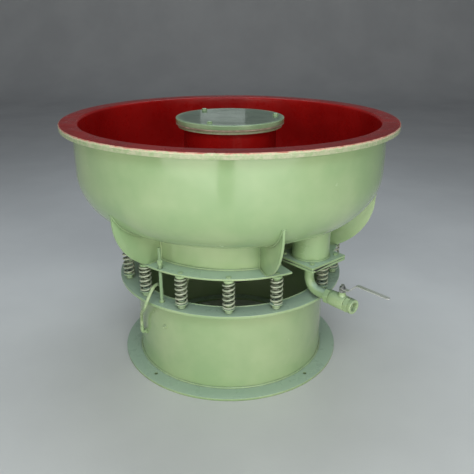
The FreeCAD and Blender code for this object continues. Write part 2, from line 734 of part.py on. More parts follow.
def sump_bolt_places():
    offset = float(S["sump_bolt_offset"])
    return [FreeCAD.Placement(FreeCAD.Vector(sx * offset, sy * offset, 0), FreeCAD.Rotation())
            for sx in (-1, 1) for sy in (-1, 1)]


def make_sump(envelope):
    """The drain sump with its flange, strainer, gasket and bottom plate."""
    bore = S["sump_radius"] - S["sump_wall"]
    rise = S["curve_height"] - S["sump_flange_top"]
    outer = rod("sump_outer", S["sump_radius"], S["sump_flange_top"], rise)
    flange = square_plate("sump_flange", sump_flange_low, S["sump_plate"], bore)
    inner = rod("sump_bore", bore, S["sump_flange_top"], rise)
    tube = cut("sump_tube", outer, inner)
    blank = fuse("sump_blank", [tube, flange])
    blank.Placement = drain_place()
    node(cut("sump", blank, envelope), "drain_sump")

    strainer_low = S["strainer_top"] - S["strainer_plate"]
    strainer = padded("strainer", None, S["strainer_plate"], height=strainer_low, circles=[(0, 0, bore)])
    for ring, (circle, count) in enumerate(STRAINER_RINGS, start=1):
        hole_at = (circle, 0, S["strainer_hole"])
        hole = drilled(strainer, "strainer_hole_%d" % ring, [hole_at], S["strainer_top"])
        repeated(strainer, hole, count)
    strainer.Placement = drain_place()
    node(strainer, "drain_strainer")

    seal = square_plate("sump_seal", sump_plate_top, S["sump_gasket"], bore)
    seal.Placement = drain_place()
    node(seal, "sump_gasket")
    plate = square_plate("sump_cover", sump_plate_low, S["sump_plate"], S["pipe_radius"] - S["pipe_wall"])
    plate.Placement = drain_place()
    node(plate, "sump_plate")

    stack = S["sump_plate"] * 2 + S["sump_gasket"]
    shank_length = stack + S["nut_rise"]
    one = bolt("sump_bolt", S["sump_flange_top"], S["bolt_head_rise"], S["sump_flange_top"] - shank_length,
               shank_length, S["sump_bolt_radius"], S["bolt_head"])
    one_nut = nut("sump_nut", sump_plate_low - S["bolt_head_rise"], S["bolt_head_rise"],
                  S["sump_bolt_radius"], S["bolt_head"])
    bolts = group("sump_bolt_set", gather("sump_bolt_pair", [one, one_nut]), sump_bolt_places())
    bolts.Placement = drain_place()
    node(bolts, "sump_bolts")


def outlet_place():
    """The drain axis with +X along the outlet."""
    base = drain_place().Base
    return towards(OUTLET_HEADING, base)


def make_elbow():
    """The drain pipe: down from the plate, round the elbow and out to the valve."""
    body = new_body("elbow")
    path = new_sketch(body, "elbow_path")
    bend_top = S["outlet_height"] + S["elbow_radius"]
    top = FreeCAD.Vector(0, float(sump_plate_low), 0)
    bend_start = FreeCAD.Vector(0, float(bend_top), 0)
    bend_end = FreeCAD.Vector(float(S["elbow_radius"]), float(S["outlet_height"]), 0)
    mouth = FreeCAD.Vector(float(S["valve_socket"]), float(S["outlet_height"]), 0)
    path.addGeometry(Part.LineSegment(top, bend_start))
    bend, bend_first, bend_last = arc_between(bend_start, bend_end, float(S["elbow_radius"]), -1)
    path.addGeometry(bend)
    path.addGeometry(Part.LineSegment(bend_end, mouth))
    rules = [
        (Sketcher.Constraint("Coincident", 0, 2, 1, bend_first), None),
        (Sketcher.Constraint("Coincident", 1, bend_last, 2, 1), None),
        (Sketcher.Constraint("Radius", 1, float(S["elbow_radius"])), S["elbow_radius"].text),
    ]
    pin_point(path, 0, 1, Size(0, "0"), sump_plate_low, rules)
    pin_point(path, 0, 2, Size(0, "0"), bend_top, rules)
    pin_point(path, 2, 1, S["elbow_radius"], S["outlet_height"], rules)
    pin_point(path, 2, 2, S["valve_socket"], S["outlet_height"], rules)
    apply_rules(path, rules)
    section = new_sketch(body, "elbow_section", "XY_Plane", sump_plate_low)
    draw_circles(section, [(0, 0, S["pipe_radius"]), (0, 0, S["pipe_radius"] - S["pipe_wall"])])
    pipe = body.newObject("PartDesign::AdditivePipe", "elbow_pipe")
    pipe.Profile = section
    pipe.Spine = (path, ["Edge1", "Edge2", "Edge3"])
    body.Tip = pipe
    body.Placement = outlet_place()
    node(body, "drain_elbow")


def on_outlet(body):
    """Put a body that was turned about its X axis on the outlet's centreline."""
    place = outlet_place()
    place.Base.z = float(S["outlet_height"])
    body.Placement = place
    return body


def make_valve_body():
    """The ball valve's body: hexagon inlet, round barrel and stem neck."""
    chamber_start = S["ball_centre"] - S["ball_radius"] - S["ball_end_gap"]
    barrel = turned("valve_barrel", [
        (S["valve_socket"], S["port_radius"]), (S["valve_socket"], S["pipe_radius"]),
        (S["valve_start"], S["pipe_radius"]), (S["valve_start"], S["valve_hex"]),
        (S["valve_waist"], S["valve_hex"]), (S["valve_waist"] + S["valve_chamfer"], S["valve_radius"]),
        (S["valve_split"], S["valve_radius"]), (S["valve_split"], S["ball_chamber"]),
        (chamber_start, S["ball_chamber"]), (chamber_start, S["port_radius"]),
    ], axis="H_Axis")
    on_outlet(barrel)
    neck = rod("valve_neck", S["valve_neck"], Size(0, "0"), S["neck_top"] - S["outlet_height"])
    stem_place = stem_placement()
    neck_place = FreeCAD.Placement(stem_place)
    neck_place.Base.z = float(S["outlet_height"])
    neck.setExpression(".Placement.Base.z", None)
    neck.Placement = neck_place
    chamber = rod("valve_chamber", S["ball_chamber"], Size(0, "0"), S["valve_split"] - chamber_start)
    chamber.setExpression(".Placement.Base.z", None)
    chamber.Placement = along_outlet(chamber_start)
    bore = rod("valve_stem_bore", S["stem_radius"] + S["stem_running_gap"], Size(0, "0"),
               S["neck_top"] - S["outlet_height"])
    bore.setExpression(".Placement.Base.z", None)
    bore.Placement = neck_place
    solid_neck = cut("valve_neck_open", neck, chamber)
    blank = fuse("valve_blank", [barrel, solid_neck])
    node(cut("valve_housing", blank, bore), "valve_body")


def along_outlet(distance):
    """A placement on the outlet's centreline whose +Z points along the outlet."""
    place = outlet_place()
    outwards = place.Rotation.multVec(FreeCAD.Vector(1, 0, 0))
    base = place.Base + outwards * float(distance)
    base.z = float(S["outlet_height"])
    return FreeCAD.Placement(base, FreeCAD.Rotation(Z_AXIS, outwards))


def stem_placement():
    """The valve stem's axis, with +X along the outlet."""
    place = outlet_place()
    place.Base = place.multVec(FreeCAD.Vector(float(S["ball_centre"]), 0, 0))
    return place


def make_valve_trim():
    """The end cap, the two seats and the packing nut."""
    cap_place = along_outlet(S["valve_split"])
    length = S["valve_end"] - S["valve_split"]
    cap = doc.addObject("Part::Prism", "cap_hex")
    cap.Polygon = 6
    bind(cap, Circumradius=S["valve_radius"], Height=length)
    port = doc.addObject("Part::Cylinder", "cap_port")
    bind(port, Radius=S["port_radius"], Height=length)
    mouth = doc.addObject("Part::Cylinder", "cap_mouth")
    bind(mouth, Radius=S["outlet_radius"], Height=S["outlet_depth"])
    mouth.setExpression(".Placement.Base.z", (length - S["outlet_depth"]).text)
    end_cap = cut("cap", cap, fuse("cap_bores", [port, mouth]))
    end_cap.Placement = cap_place
    node(end_cap, "valve_end_cap")

    seats = []
    reach = S["ball_radius"] + S["ball_end_gap"]
    first = S["ball_centre"] - reach
    second = S["ball_centre"] + reach - S["seat_depth"]
    for name, start in (("inlet_seat", first), ("outlet_seat", second)):
        blank = doc.addObject("Part::Cylinder", name + "_blank")
        bind(blank, Radius=S["ball_chamber"], Height=S["seat_depth"])
        hole = doc.addObject("Part::Cylinder", name + "_hole")
        bind(hole, Radius=S["seat_bore"], Height=S["seat_depth"])
        seat = cut(name, blank, hole)
        seat.Placement = along_outlet(start)
        seats.append(seat)
    node(gather("seat_pair", seats), "valve_seats")

    packing = nut("packing", S["neck_top"], S["packing_top"] - S["neck_top"],
                  S["stem_radius"] + S["stem_running_gap"], S["valve_neck"])
    packing.Placement = stem_placement()
    node(packing, "valve_packing_nut")


def make_ball():
    """The bored ball with the slot that the stem turns."""
    ball = doc.addObject("Part::Sphere", "ball_sphere")
    bind(ball, Radius=S["ball_radius"])
    port = doc.addObject("Part::Cylinder", "ball_port")
    port_reach = S["ball_radius"] + S["ball_end_gap"]
    bind(port, Radius=S["port_radius"], Height=port_reach * 2)
    port.Placement = FreeCAD.Placement(FreeCAD.Vector(-float(port_reach), 0, 0),
                                       FreeCAD.Rotation(FreeCAD.Vector(0, 1, 0), 90))
    slot_width = S["tang_width"] + S["tang_gap"] * 2
    slot = block("ball_slot", S["ball_radius"] * 2, slot_width, S["ball_radius"],
                 (-S["ball_radius"], -slot_width / 2, S["ball_radius"] - S["slot_depth"]))
    shape = cut("ball", ball, fuse("ball_cuts", [port, slot]))
    place = stem_placement()
    place.Base.z = float(S["outlet_height"])
    shape.Placement = place
    node(shape, "valve_ball")


def make_handle():
    """The stem, the flat lever and its nut."""
    ball_top = S["outlet_height"] + S["ball_radius"]
    stem_low = ball_top + S["tang_gap"]
    rod_piece = rod("stem_rod", S["stem_radius"], stem_low, S["stem_top"] - stem_low)
    tang_low = stem_low - S["tang_depth"]
    tang = block("stem_tang", S["tang_length"], S["tang_width"], S["tang_depth"] + S["tang_root"],
                 (-S["tang_length"] / 2, -S["tang_width"] / 2, tang_low))
    collar_trim = rod("stem_envelope", S["stem_radius"], tang_low, S["stem_top"] - tang_low)
    trimmed = doc.addObject("Part::Common", "stem_tang_round")
    trimmed.Base = tang
    trimmed.Tool = collar_trim
    stem = fuse("stem", [rod_piece, trimmed])
    stem.Placement = stem_placement()
    node(stem, "valve_stem")

    centre = S["ball_centre"]
    low = S["lever_low"]
    high = S["lever_high"]
    plate = S["lever_plate"]
    corners = [
        (S["lever_tail"] - centre, low), (S["lever_bend_start"] - centre, low),
        (S["lever_bend_end"] - centre, high), (S["lever_tip"] - centre, high),
        (S["lever_tip"] - centre, high + plate), (S["lever_bend_end"] - centre - plate / 2, high + plate),
        (S["lever_bend_start"] - centre - plate / 2, low + plate), (S["lever_tail"] - centre, low + plate),
    ]
    lever = padded("lever_strip", corners, S["lever_width"], plane="XZ_Plane", midplane=True)
    drilled(lever, "lever_hole", [(0, 0, S["stem_radius"])], low + plate)
    lever.Placement = stem_placement()
    node(lever, "valve_lever")
    top_nut = nut("handle_nut", low + plate, S["nut_rise"], S["stem_radius"], S["bolt_head"])
    top_nut.Placement = stem_placement()
    node(top_nut, "lever_nut")


# ---------------------------------------------------------------- vibration motor

def motor_bolt_places():
    step = 360.0 / MOTOR_BOLT_COUNT
    return [at_bearing(S["motor_bolt_circle"], step * index) for index in range(MOTOR_BOLT_COUNT)]


def make_motor_seat():
    body = annulus("seat_disc", S["seat_plate_bore"], skirt_inner, S["seat_plate_low"], S["seat_plate"])
    top = S["seat_plate_low"] + S["seat_plate"]
    clearance = S["motor_bolt"] + S["bolt_clearance"]
    hole = drilled(body, "seat_bolt_hole", [(Size(0, "0"), -S["motor_bolt_circle"], clearance)], top)
    repeated(body, hole, MOTOR_BOLT_COUNT)
    bite = rod("seat_bite", S["sump_clearance"], Size(0, "0"), S["rim_top"])
    bite.setExpression(".Placement.Base.z", None)
    bite.Placement = drain_place()
    node(cut("motor_seat", body, bite), "motor_seat_plate")


def make_motor_housing():
    body = turned("housing", [
        (S["motor_bore"], S["motor_low"]), (S["motor_radius"], S["motor_low"]),
        (S["motor_radius"], motor_flange_low), (S["motor_flange_radius"], motor_flange_low),
        (S["motor_flange_radius"], S["seat_plate_low"]), (S["motor_radius"], S["seat_plate_low"]),
        (S["motor_radius"], S["motor_high"]), (S["motor_bore"], S["motor_high"]),
    ])
    clearance = S["motor_bolt"] + S["bolt_clearance"]
    hole = drilled(body, "housing_bolt_hole", [(Size(0, "0"), -S["motor_bolt_circle"], clearance)],
                   S["seat_plate_low"], S["motor_flange"])
    repeated(body, hole, MOTOR_BOLT_COUNT)
    sketch = new_sketch(body, "rib_outline", "XY_Plane", S["rib_low"])
    half = S["rib_width"] / 2
    inner = S["motor_radius"] - S["rib_root"]
    outer = S["motor_radius"] + S["rib_height"]
    draw_outline(sketch, [(inner, -half), (outer, -half), (outer, half), (inner, half)])
    rib = body.newObject("PartDesign::Pad", "rib")
    rib.Profile = sketch
    bind(rib, Length=S["rib_high"] - S["rib_low"])
    body.Tip = rib
    repeated(body, rib, RIB_COUNT)
    node(body, "motor_housing")

    bolt_low = motor_flange_low - S["bolt_head_rise"]
    grip = S["motor_flange"] + S["seat_plate"]
    one = bolt("motor_bolt", bolt_low, S["bolt_head_rise"], motor_flange_low,
               grip + S["motor_bolt_tail"], S["motor_bolt"], S["motor_bolt_head"])
    one_nut = nut("motor_nut", S["seat_plate_low"] + S["seat_plate"], S["motor_nut_rise"],
                  S["motor_bolt"], S["motor_bolt_head"])
    pair = gather("motor_bolt_pair", [one, one_nut])
    node(group("motor_bolt_ring", pair, motor_bolt_places()), "motor_mount_bolts")


def end_bell(name, face, direction):
    """An end bell with its bearing seat. Direction +1 is the upper one, -1 the lower one."""
    out = face + S["bell_plate"] * direction
    web = face + (S["bell_plate"] - S["bell_web"]) * direction
    spigot = face - S["bell_spigot"] * direction
    boss = web - (S["bearing_depth"] + S["bell_boss_lip"]) * direction
    return turned(name, [
        (S["shaft_hole"], out), (S["motor_radius"], out), (S["motor_radius"], face), (S["motor_bore"], face),
        (S["motor_bore"], spigot), (S["bell_boss"], spigot), (S["bell_boss"], boss),
        (S["bearing_outer"], boss), (S["bearing_outer"], web), (S["shaft_hole"], web),
    ])


def tube_between(name, inner, outer, low, length):
    """A plain tube from primitives."""
    return cut(name, rod(name + "_outer", outer, low, length), rod(name + "_inner", inner, low, length))


def make_motor_inside():
    """End bells, bearings, stator and rotor."""
    bells = [end_bell("upper_bell", S["motor_high"], 1), end_bell("lower_bell", S["motor_low"], -1)]
    node(gather("bells", bells), "motor_end_bells")
    web = S["bell_plate"] - S["bell_web"]
    bearing_lows = {"upper": S["motor_high"] + web - S["bearing_depth"], "lower": S["motor_low"] - web}
    outer_rings = []
    inner_parts = []
    for name, low in bearing_lows.items():
        outer_rings.append(tube_between(name + "_outer_ring", S["outer_race"], S["bearing_outer"],
                                        low, S["bearing_depth"]))
        inner_parts.append(tube_between(name + "_inner_ring", S["shaft_radius"], S["inner_race"],
                                        low, S["bearing_depth"]))
        roller = rod(name + "_roller", S["roller_radius"], low + S["roller_margin"],
                     S["bearing_depth"] - S["roller_margin"] * 2)
        step = 360.0 / ROLLER_COUNT
        places = [at_bearing(S["roller_circle"], step * index) for index in range(ROLLER_COUNT)]
        inner_parts.append(group(name + "_rollers", roller, places))
    node(gather("outer_rings", outer_rings), "bearing_outer_rings")
    node(gather("inner_rings", inner_parts), "bearing_inner_rings")

    core_rise = S["core_high"] - S["core_low"]
    node(tube_between("stator", S["stator_bore"], S["motor_bore"], S["core_low"], core_rise), "stator_core")
    heads = [tube_between("lower_winding", S["winding_inner"], S["winding_outer"],
                          S["core_low"] - S["winding_reach"], S["winding_reach"]),
             tube_between("upper_winding", S["winding_inner"], S["winding_outer"],
                          S["core_high"], S["winding_reach"])]
    node(gather("windings", heads), "stator_windings")
    node(tube_between("rotor", S["shaft_waist"], S["rotor_radius"], S["core_low"], core_rise), "rotor_core")


def make_shaft():
    lower_shoulder = S["motor_low"] - (S["bell_plate"] - S["bell_web"]) + S["bearing_depth"]
    upper_shoulder = S["motor_high"] + (S["bell_plate"] - S["bell_web"]) - S["bearing_depth"]
    body = turned("shaft", [
        (Size(0, "0"), S["shaft_low"]), (S["shaft_radius"], S["shaft_low"]),
        (S["shaft_radius"], lower_shoulder), (S["shaft_waist"], lower_shoulder),
        (S["shaft_waist"], upper_shoulder), (S["shaft_radius"], upper_shoulder),
        (S["shaft_radius"], S["shaft_high"]), (Size(0, "0"), S["shaft_high"]),
    ])
    node(body, "motor_shaft")


def weight(name, low, radius, bearing, bore_radius):
    """An eccentric weight: a heavy sector on a clamped hub."""
    sector = doc.addObject("Part::Cylinder", name + "_sector")
    bind(sector, Radius=radius, Height=S["weight_plate"])
    sector.Angle = WEIGHT_SECTOR
    sector.Placement = FreeCAD.Placement(FreeCAD.Vector(), FreeCAD.Rotation(Z_AXIS, 90 - WEIGHT_SECTOR / 2))
    hub = doc.addObject("Part::Cylinder", name + "_hub")
    bind(hub, Radius=S["weight_hub"], Height=S["weight_plate"])
    bore = doc.addObject("Part::Cylinder", name + "_bore")
    bind(bore, Radius=bore_radius, Height=S["weight_plate"])
    clamp = clamp_rod(name + "_clamp_hole")
    blank = fuse(name + "_blank", [sector, hub])
    shape = cut(name, blank, fuse(name + "_holes", [bore, clamp]))
    shape.Placement = FreeCAD.Placement(Z_AXIS * float(low), FreeCAD.Rotation(Z_AXIS, bearing))
    return shape


def clamp_rod(name):
    """The clamp bolt's shank across the hub, on the light side of a weight."""
    shank = doc.addObject("Part::Cylinder", name)
    reach = S["weight_hub"] * 2
    bind(shank, Radius=S["clamp_bolt"], Height=reach)
    middle = FreeCAD.Vector(-float(reach) / 2, -float(S["clamp_offset"]), float(S["weight_plate"]) / 2)
    shank.Placement = FreeCAD.Placement(middle, FreeCAD.Rotation(FreeCAD.Vector(0, 1, 0), 90))
    return shank


def make_weights():
    upper = weight("top_weight", S["upper_weight_low"], S["upper_weight_radius"], 180, S["shaft_radius"])
    node(upper, "upper_weight")
    bolt_one = clamp_rod("upper_clamp")
    bolt_one.Placement = upper.Placement.multiply(bolt_one.Placement)
    node(bolt_one, "upper_clamp_bolt")
    lower = weight("bottom_weight", S["lower_weight_low"], S["lower_weight_radius"], 180 + LOWER_WEIGHT_LEAD,
                   S["shaft_radius"] + S["weight_running_gap"])
    node(lower, "lower_weight")
    bolt_two = clamp_rod("lower_clamp")
    bolt_two.Placement = lower.Placement.multiply(bolt_two.Placement)
    node(bolt_two, "lower_clamp_bolt")


# ---------------------------------------------------------------- wiring

def hollow_box(name, inner, outer, half_width, low, high, wall):
    """A box along +X, open on its outer face, and the blank that closes it."""
    shell = block(name + "_shell", outer - inner, half_width * 2, high - low, (inner, -half_width, low))
    space = block(name + "_space", outer - inner, (half_width - wall) * 2, high - low - wall * 2,
                  (inner + wall, -half_width + wall, low + wall))
    return shell, space


def make_terminal_box():
    """The terminal box on the motor, its lid and the gland that holds the lead."""
    start = S["motor_radius"] - S["saddle_overlap"]
    shell, space = hollow_box("terminal", start, S["terminal_outer"], S["terminal_half_width"],
                              S["terminal_low"], S["terminal_high"], S["terminal_wall"])
    space.setExpression(".Placement.Base.x", (S["motor_radius"] + S["terminal_wall"]).text)
    saddle_rise = S["terminal_high"] - S["motor_low"] + S["terminal_wall"]
    barrel = rod("terminal_saddle", S["motor_radius"], S["motor_low"], saddle_rise)
    hole = rod("terminal_gland_hole", S["lead_radius"], S["terminal_low"], S["terminal_wall"])
    hole.setExpression(".Placement.Base.x", S["gland_circle"].text)
    box = cut("terminal_case", shell, fuse("terminal_cuts", [space, barrel, hole]))
    box.Placement = towards(TERMINAL_BEARING)
    node(box, "terminal_box")
    rise = S["terminal_high"] - S["terminal_low"]
    lid = block("terminal_cover", S["box_lid"], S["terminal_half_width"] * 2, rise,
                (S["terminal_outer"], -S["terminal_half_width"], S["terminal_low"]))
    turned_lid = gather("terminal_cover_turned", [lid])
    turned_lid.Placement = towards(TERMINAL_BEARING)
    node(turned_lid, "terminal_box_lid")

    gland_low = S["terminal_low"] - S["gland_drop"]
    mid = S["terminal_low"] - S["gland_drop"] / 2
    hex_part = hexagon("gland_hex", S["gland_hex"], mid, S["gland_drop"] / 2)
    dome = rod("gland_dome", S["gland_body"], gland_low, S["gland_drop"] / 2)
    solid = fuse("gland", [hex_part, dome])
    solid.Placement = at_bearing(S["gland_circle"], TERMINAL_BEARING)
    node(solid, "motor_lead_gland")


def make_lead_elbow():
    """The threaded elbow that takes the lead through the drum's wall into the junction box."""
    height = S["gland_height"]
    reach = S["elbow_reach"] + S["drum_radius"]
    tail = radial_rod("elbow_tail", S["elbow_body"], LEAD_ENTRY_BEARING, S["box_outer"] - S["box_wall"],
                      reach - S["box_outer"] + S["box_wall"], height)
    top = doc.addObject("Part::Cylinder", "elbow_top")
    bind(top, Radius=S["elbow_body"], Height=S["elbow_rise"])
    top.Placement = at_bearing(reach, LEAD_ENTRY_BEARING, float(height))
    corner = doc.addObject("Part::Sphere", "elbow_corner")
    bind(corner, Radius=S["elbow_body"])
    corner.Placement = at_bearing(reach, LEAD_ENTRY_BEARING, float(height))
    fitting = fuse("entry_elbow", [tail, top, corner])
    ring = nut("lock_nut", Size(0, "0"), S["lock_nut_rise"], S["elbow_body"], S["lock_nut_hex"])
    outwards = FreeCAD.Vector(float(east(1, LEAD_ENTRY_BEARING)), float(north(1, LEAD_ENTRY_BEARING)), 0)
    ring.Placement = FreeCAD.Placement(outwards * float(S["drum_radius"]) + Z_AXIS * float(height),
                                       FreeCAD.Rotation(Z_AXIS, outwards))
    node(gather("entry_fitting", [fitting, ring]), "lead_entry_elbow")


def make_junction_box():
    """The junction box inside the drum, where the lead is wired to the supply."""
    shell, space = hollow_box("junction", S["box_inner"], S["box_outer"], S["box_half_width"],
                              S["box_low"], S["box_high"], S["box_wall"])
    space.setExpression(".Placement.Base.x", (S["box_inner"] - S["box_wall"]).text)
    hole = rod("junction_hole", S["elbow_body"], Size(0, "0"), S["box_wall"] * 3)
    hole.setExpression(".Placement.Base.z", None)
    hole.Placement = FreeCAD.Placement(
        FreeCAD.Vector(float(S["box_outer"] - S["box_wall"] * 2), 0, float(S["gland_height"])),
        FreeCAD.Rotation(FreeCAD.Vector(0, 1, 0), 90))
    box = cut("junction_case", shell, fuse("junction_cuts", [space, hole]))
    box.Placement = towards(LEAD_ENTRY_BEARING)
    node(box, "junction_box")
    lid = block("junction_cover", S["box_lid"], S["box_half_width"] * 2, S["box_high"] - S["box_low"],
                (S["box_inner"] - S["box_lid"], -S["box_half_width"], S["box_low"]))
    turned_lid = gather("junction_cover_turned", [lid])
    turned_lid.Placement = towards(LEAD_ENTRY_BEARING)
    node(turned_lid, "junction_box_lid")


def route_points():
    return [at_bearing(radius, bearing, height).Base for radius, bearing, height in LEAD_ROUTE]


def rounded_path(points, share=0.45):
    """Straight runs joined by tangent arcs, each as large as its two runs allow."""
    edges = []
    radii = []
    start = points[0]
    for before, corner, after in zip(points, points[1:], points[2:]):
        back = (before - corner).normalize()
        ahead = (after - corner).normalize()
        trim = share * min((before - corner).Length, (after - corner).Length)
        half_turn = (math.pi - back.getAngle(ahead)) / 2
        radius = trim / math.tan(half_turn)
        radii.append(radius)
        first = corner + back * trim
        last = corner + ahead * trim
        inward = (back + ahead).normalize()
        to_centre = math.hypot(radius, trim)
        middle = corner + inward * (to_centre - radius)
        edges.append(Part.LineSegment(start, first).toShape())
        edges.append(Part.Arc(first, middle, last).toShape())
        start = last
    edges.append(Part.LineSegment(start, points[-1]).toShape())
    return Part.Wire(edges), radii


def make_lead():
    """The motor lead, a tube along its rounded route."""
    path, radii = rounded_path(route_points())
    radius = float(S["lead_radius"])
    direction = path.Edges[0].tangentAt(path.Edges[0].FirstParameter)
    section = Part.Wire(Part.makeCircle(radius, route_points()[0], direction))
    tube = path.makePipeShell([section], True, False, 2)
    expected = math.pi * radius * radius * path.Length
    print("lead length %.0f mm, least radius %.0f mm" % (path.Length, min(radii)))
    print("lead radii", [round(value) for value in radii])
    print("lead volume over section times length %.4f" % (tube.Volume / expected))
    lead = doc.addObject("Part::Feature", "lead")
    lead.Shape = tube
    lead.Placement = FreeCAD.Placement()
    node(lead, "motor_lead")


# ---------------------------------------------------------------- assembly and export

def make_everything():
    make_floor_flange()
    make_drum()
    make_top_ring()
    make_lower_seats()
    make_springs()
    make_limit_studs()
    make_earth_bolt()
    make_shell()
    make_liner()
    make_rim()
    make_column_head()
    make_skirt()
    make_spring_flange()
    envelope = make_bowl_envelope()
    make_fins(envelope)
    make_upper_seats()
    make_sump(envelope)
    make_elbow()
    make_valve_body()
    make_valve_trim()
    make_ball()
    make_handle()
    make_motor_seat()
    make_motor_housing()
    make_motor_inside()
    make_shaft()
    make_weights()
    make_terminal_box()
    make_lead_elbow()
    make_junction_box()
    make_lead()


def check_everything():
    """Stop with a list of the objects that failed to build."""
    faults = []
    for item in doc.Objects:
        if "Invalid" in item.State or "Error" in item.State:
            faults.append("%s: %s" % (item.Name, item.State))
    for item in NODES:
        if item.Shape.isNull() or not item.Shape.isValid():
            faults.append("%s has no valid shape" % item.Label)
        elif not item.Shape.Solids:
            faults.append("%s has no solid" % item.Label)
    if faults:
        raise RuntimeError("\n".join(faults))


def export_everything():
    os.makedirs("parts", exist_ok=True)
    for item in NODES:
        item.Shape.exportStep("parts/%s.step" % item.Label)
        print("%-24s %2d solids, %10.0f mm3" % (item.Label, len(item.Shape.Solids), item.Shape.Volume))
    print("%d nodes" % len(NODES))


make_everything()
doc.recompute()
check_everything()
export_everything()
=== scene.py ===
"""Looks for the vibratory bowl tumbler: painted steelwork, red liner, springs, drain valve and lead.

Metres, in the CAD frame: the floor is z = 0 and the machine's axis is x = y = 0. Bearings are degrees
from the front (-Y), positive towards +X.
"""

import math

import bmesh
import bpy
from mathutils import Matrix, Vector, noise


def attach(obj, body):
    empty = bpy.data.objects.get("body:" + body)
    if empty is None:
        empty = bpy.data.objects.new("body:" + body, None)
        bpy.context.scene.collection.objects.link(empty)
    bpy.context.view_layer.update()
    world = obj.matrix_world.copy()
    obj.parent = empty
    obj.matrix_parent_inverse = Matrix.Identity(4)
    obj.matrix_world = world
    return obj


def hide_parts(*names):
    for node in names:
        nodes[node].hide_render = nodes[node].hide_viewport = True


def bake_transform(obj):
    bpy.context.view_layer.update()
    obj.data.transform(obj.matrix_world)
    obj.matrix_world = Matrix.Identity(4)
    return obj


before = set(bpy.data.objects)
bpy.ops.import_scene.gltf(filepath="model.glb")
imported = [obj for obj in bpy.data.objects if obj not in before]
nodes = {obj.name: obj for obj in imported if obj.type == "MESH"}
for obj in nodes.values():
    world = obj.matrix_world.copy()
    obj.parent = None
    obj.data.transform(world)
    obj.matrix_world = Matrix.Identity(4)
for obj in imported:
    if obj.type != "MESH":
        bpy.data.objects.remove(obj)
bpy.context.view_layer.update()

# ---------------------------------------------------------------- sizes, in metres

RIM_RADIUS = 0.5997
RIM_TOP = 0.927
LIP = 0.007
RIM_LOW = 0.908
BOWL_RADIUS = 0.558
BOWL_CURVE = 0.185
CURVE_HEIGHT = 0.761
COLUMN_BORE = 0.147
SHELL_WALL = 0.008
LINER_WALL = 0.014
LIP_ROUND = 0.010
LIP_EDGE = 0.0025
SHELL_DRAIN = 0.058
LINER_DRAIN = 0.050
BOWL_BOTTOM = CURVE_HEIGHT - BOWL_CURVE
OUTER_CURVE = BOWL_RADIUS - BOWL_CURVE
INNER_CURVE = COLUMN_BORE + BOWL_CURVE
HEAD_RING_RADIUS = 0.190
HEAD_RING_LOW = 0.895
COLUMN_TOP = 0.905
COVER_RADIUS = 0.197
COVER_SEAT = 0.150
GASKET_TOP = 0.911
COVER_TOP = 0.927
COVER_HOLLOW = 0.008
COVER_BOLT_CIRCLE = 0.168
SKIRT_RADIUS = 0.351
SKIRT_INNER = 0.345
FLANGE_LOW = 0.465
FLANGE_TOP = 0.472
FLANGE_RADIUS = 0.418
FIN_THICKNESS = 0.008
FIN_REACH = 0.541
FIN_SHOULDER = 0.650
FIN_TOE = 0.002
FIN_EDGE_CURVE = 0.205
BASE_RADIUS = 0.434
BASE_PLATE = 0.010
BASE_INNER = 0.330
BASE_MIDDLE = 0.400
DRUM_RADIUS = 0.371
DRUM_INNER = 0.365
RING_LOW = 0.332
RING_TOP = 0.342
ANCHOR_CIRCLE = 0.398
ANCHOR_HOLE = 0.007
SPRING_CIRCLE = 0.405
COIL_RADIUS = 0.0183
COIL_TURNS = 5.9
WIRE_RADIUS = 0.0035
POST_RADIUS = 0.0134
POST_RISE = 0.017
POST_RIDGE = 0.0027
SPIGOT_RADIUS = 0.0125
SPIGOT_RISE = 0.013
WASHER_RADIUS = 0.0225
WASHER_PLATE = 0.003
UPPER_SEAT_RADIUS = 0.018
UPPER_SEAT_RISE = 0.008
UPPER_SPIGOT_RISE = 0.0094
STUD_CIRCLE = 0.406
STUD_TOP = 0.547
STUD_HOLE = 0.009
STOP_HEIGHT = 0.484
BOLT_RADIUS = 0.006
BOLT_APOTHEM = 0.0082
EARTH_APOTHEM = 0.0066
NUT_RISE = 0.010
HEAD_RISE = 0.008
THIN_HEAD_RISE = 0.0036
DRAIN_CIRCLE = 0.385
SUMP_RADIUS = 0.065
SUMP_BORE = 0.060
SUMP_HALF_SIDE = 0.086
SUMP_BOLT_OFFSET = 0.062
SUMP_FLANGE = (0.486, 0.494)
SUMP_PLATE = (0.476, 0.484)
SUMP_BOLT_APOTHEM = 0.0072
SUMP_BOLT_RADIUS = 0.0048
SUMP_BOLT_HOLE = 0.0055
PIPE_RADIUS = 0.0175
ELBOW_RADIUS = 0.048
OUTLET_HEIGHT = 0.366
LEAD_RADIUS = 0.00575
ENTRY_HEIGHT = 0.138
ENTRY_REACH = DRUM_RADIUS + 0.018
ENTRY_BEND = 0.0085
ENTRY_PIPE = 0.0066
ENTRY_SOCKET = (0.1488, 0.1628)

# A weld's points are this far apart, and a cutting tool sticks out this far past what it cuts.
WELD_GAP = 0.0016
OVERCUT = 0.01

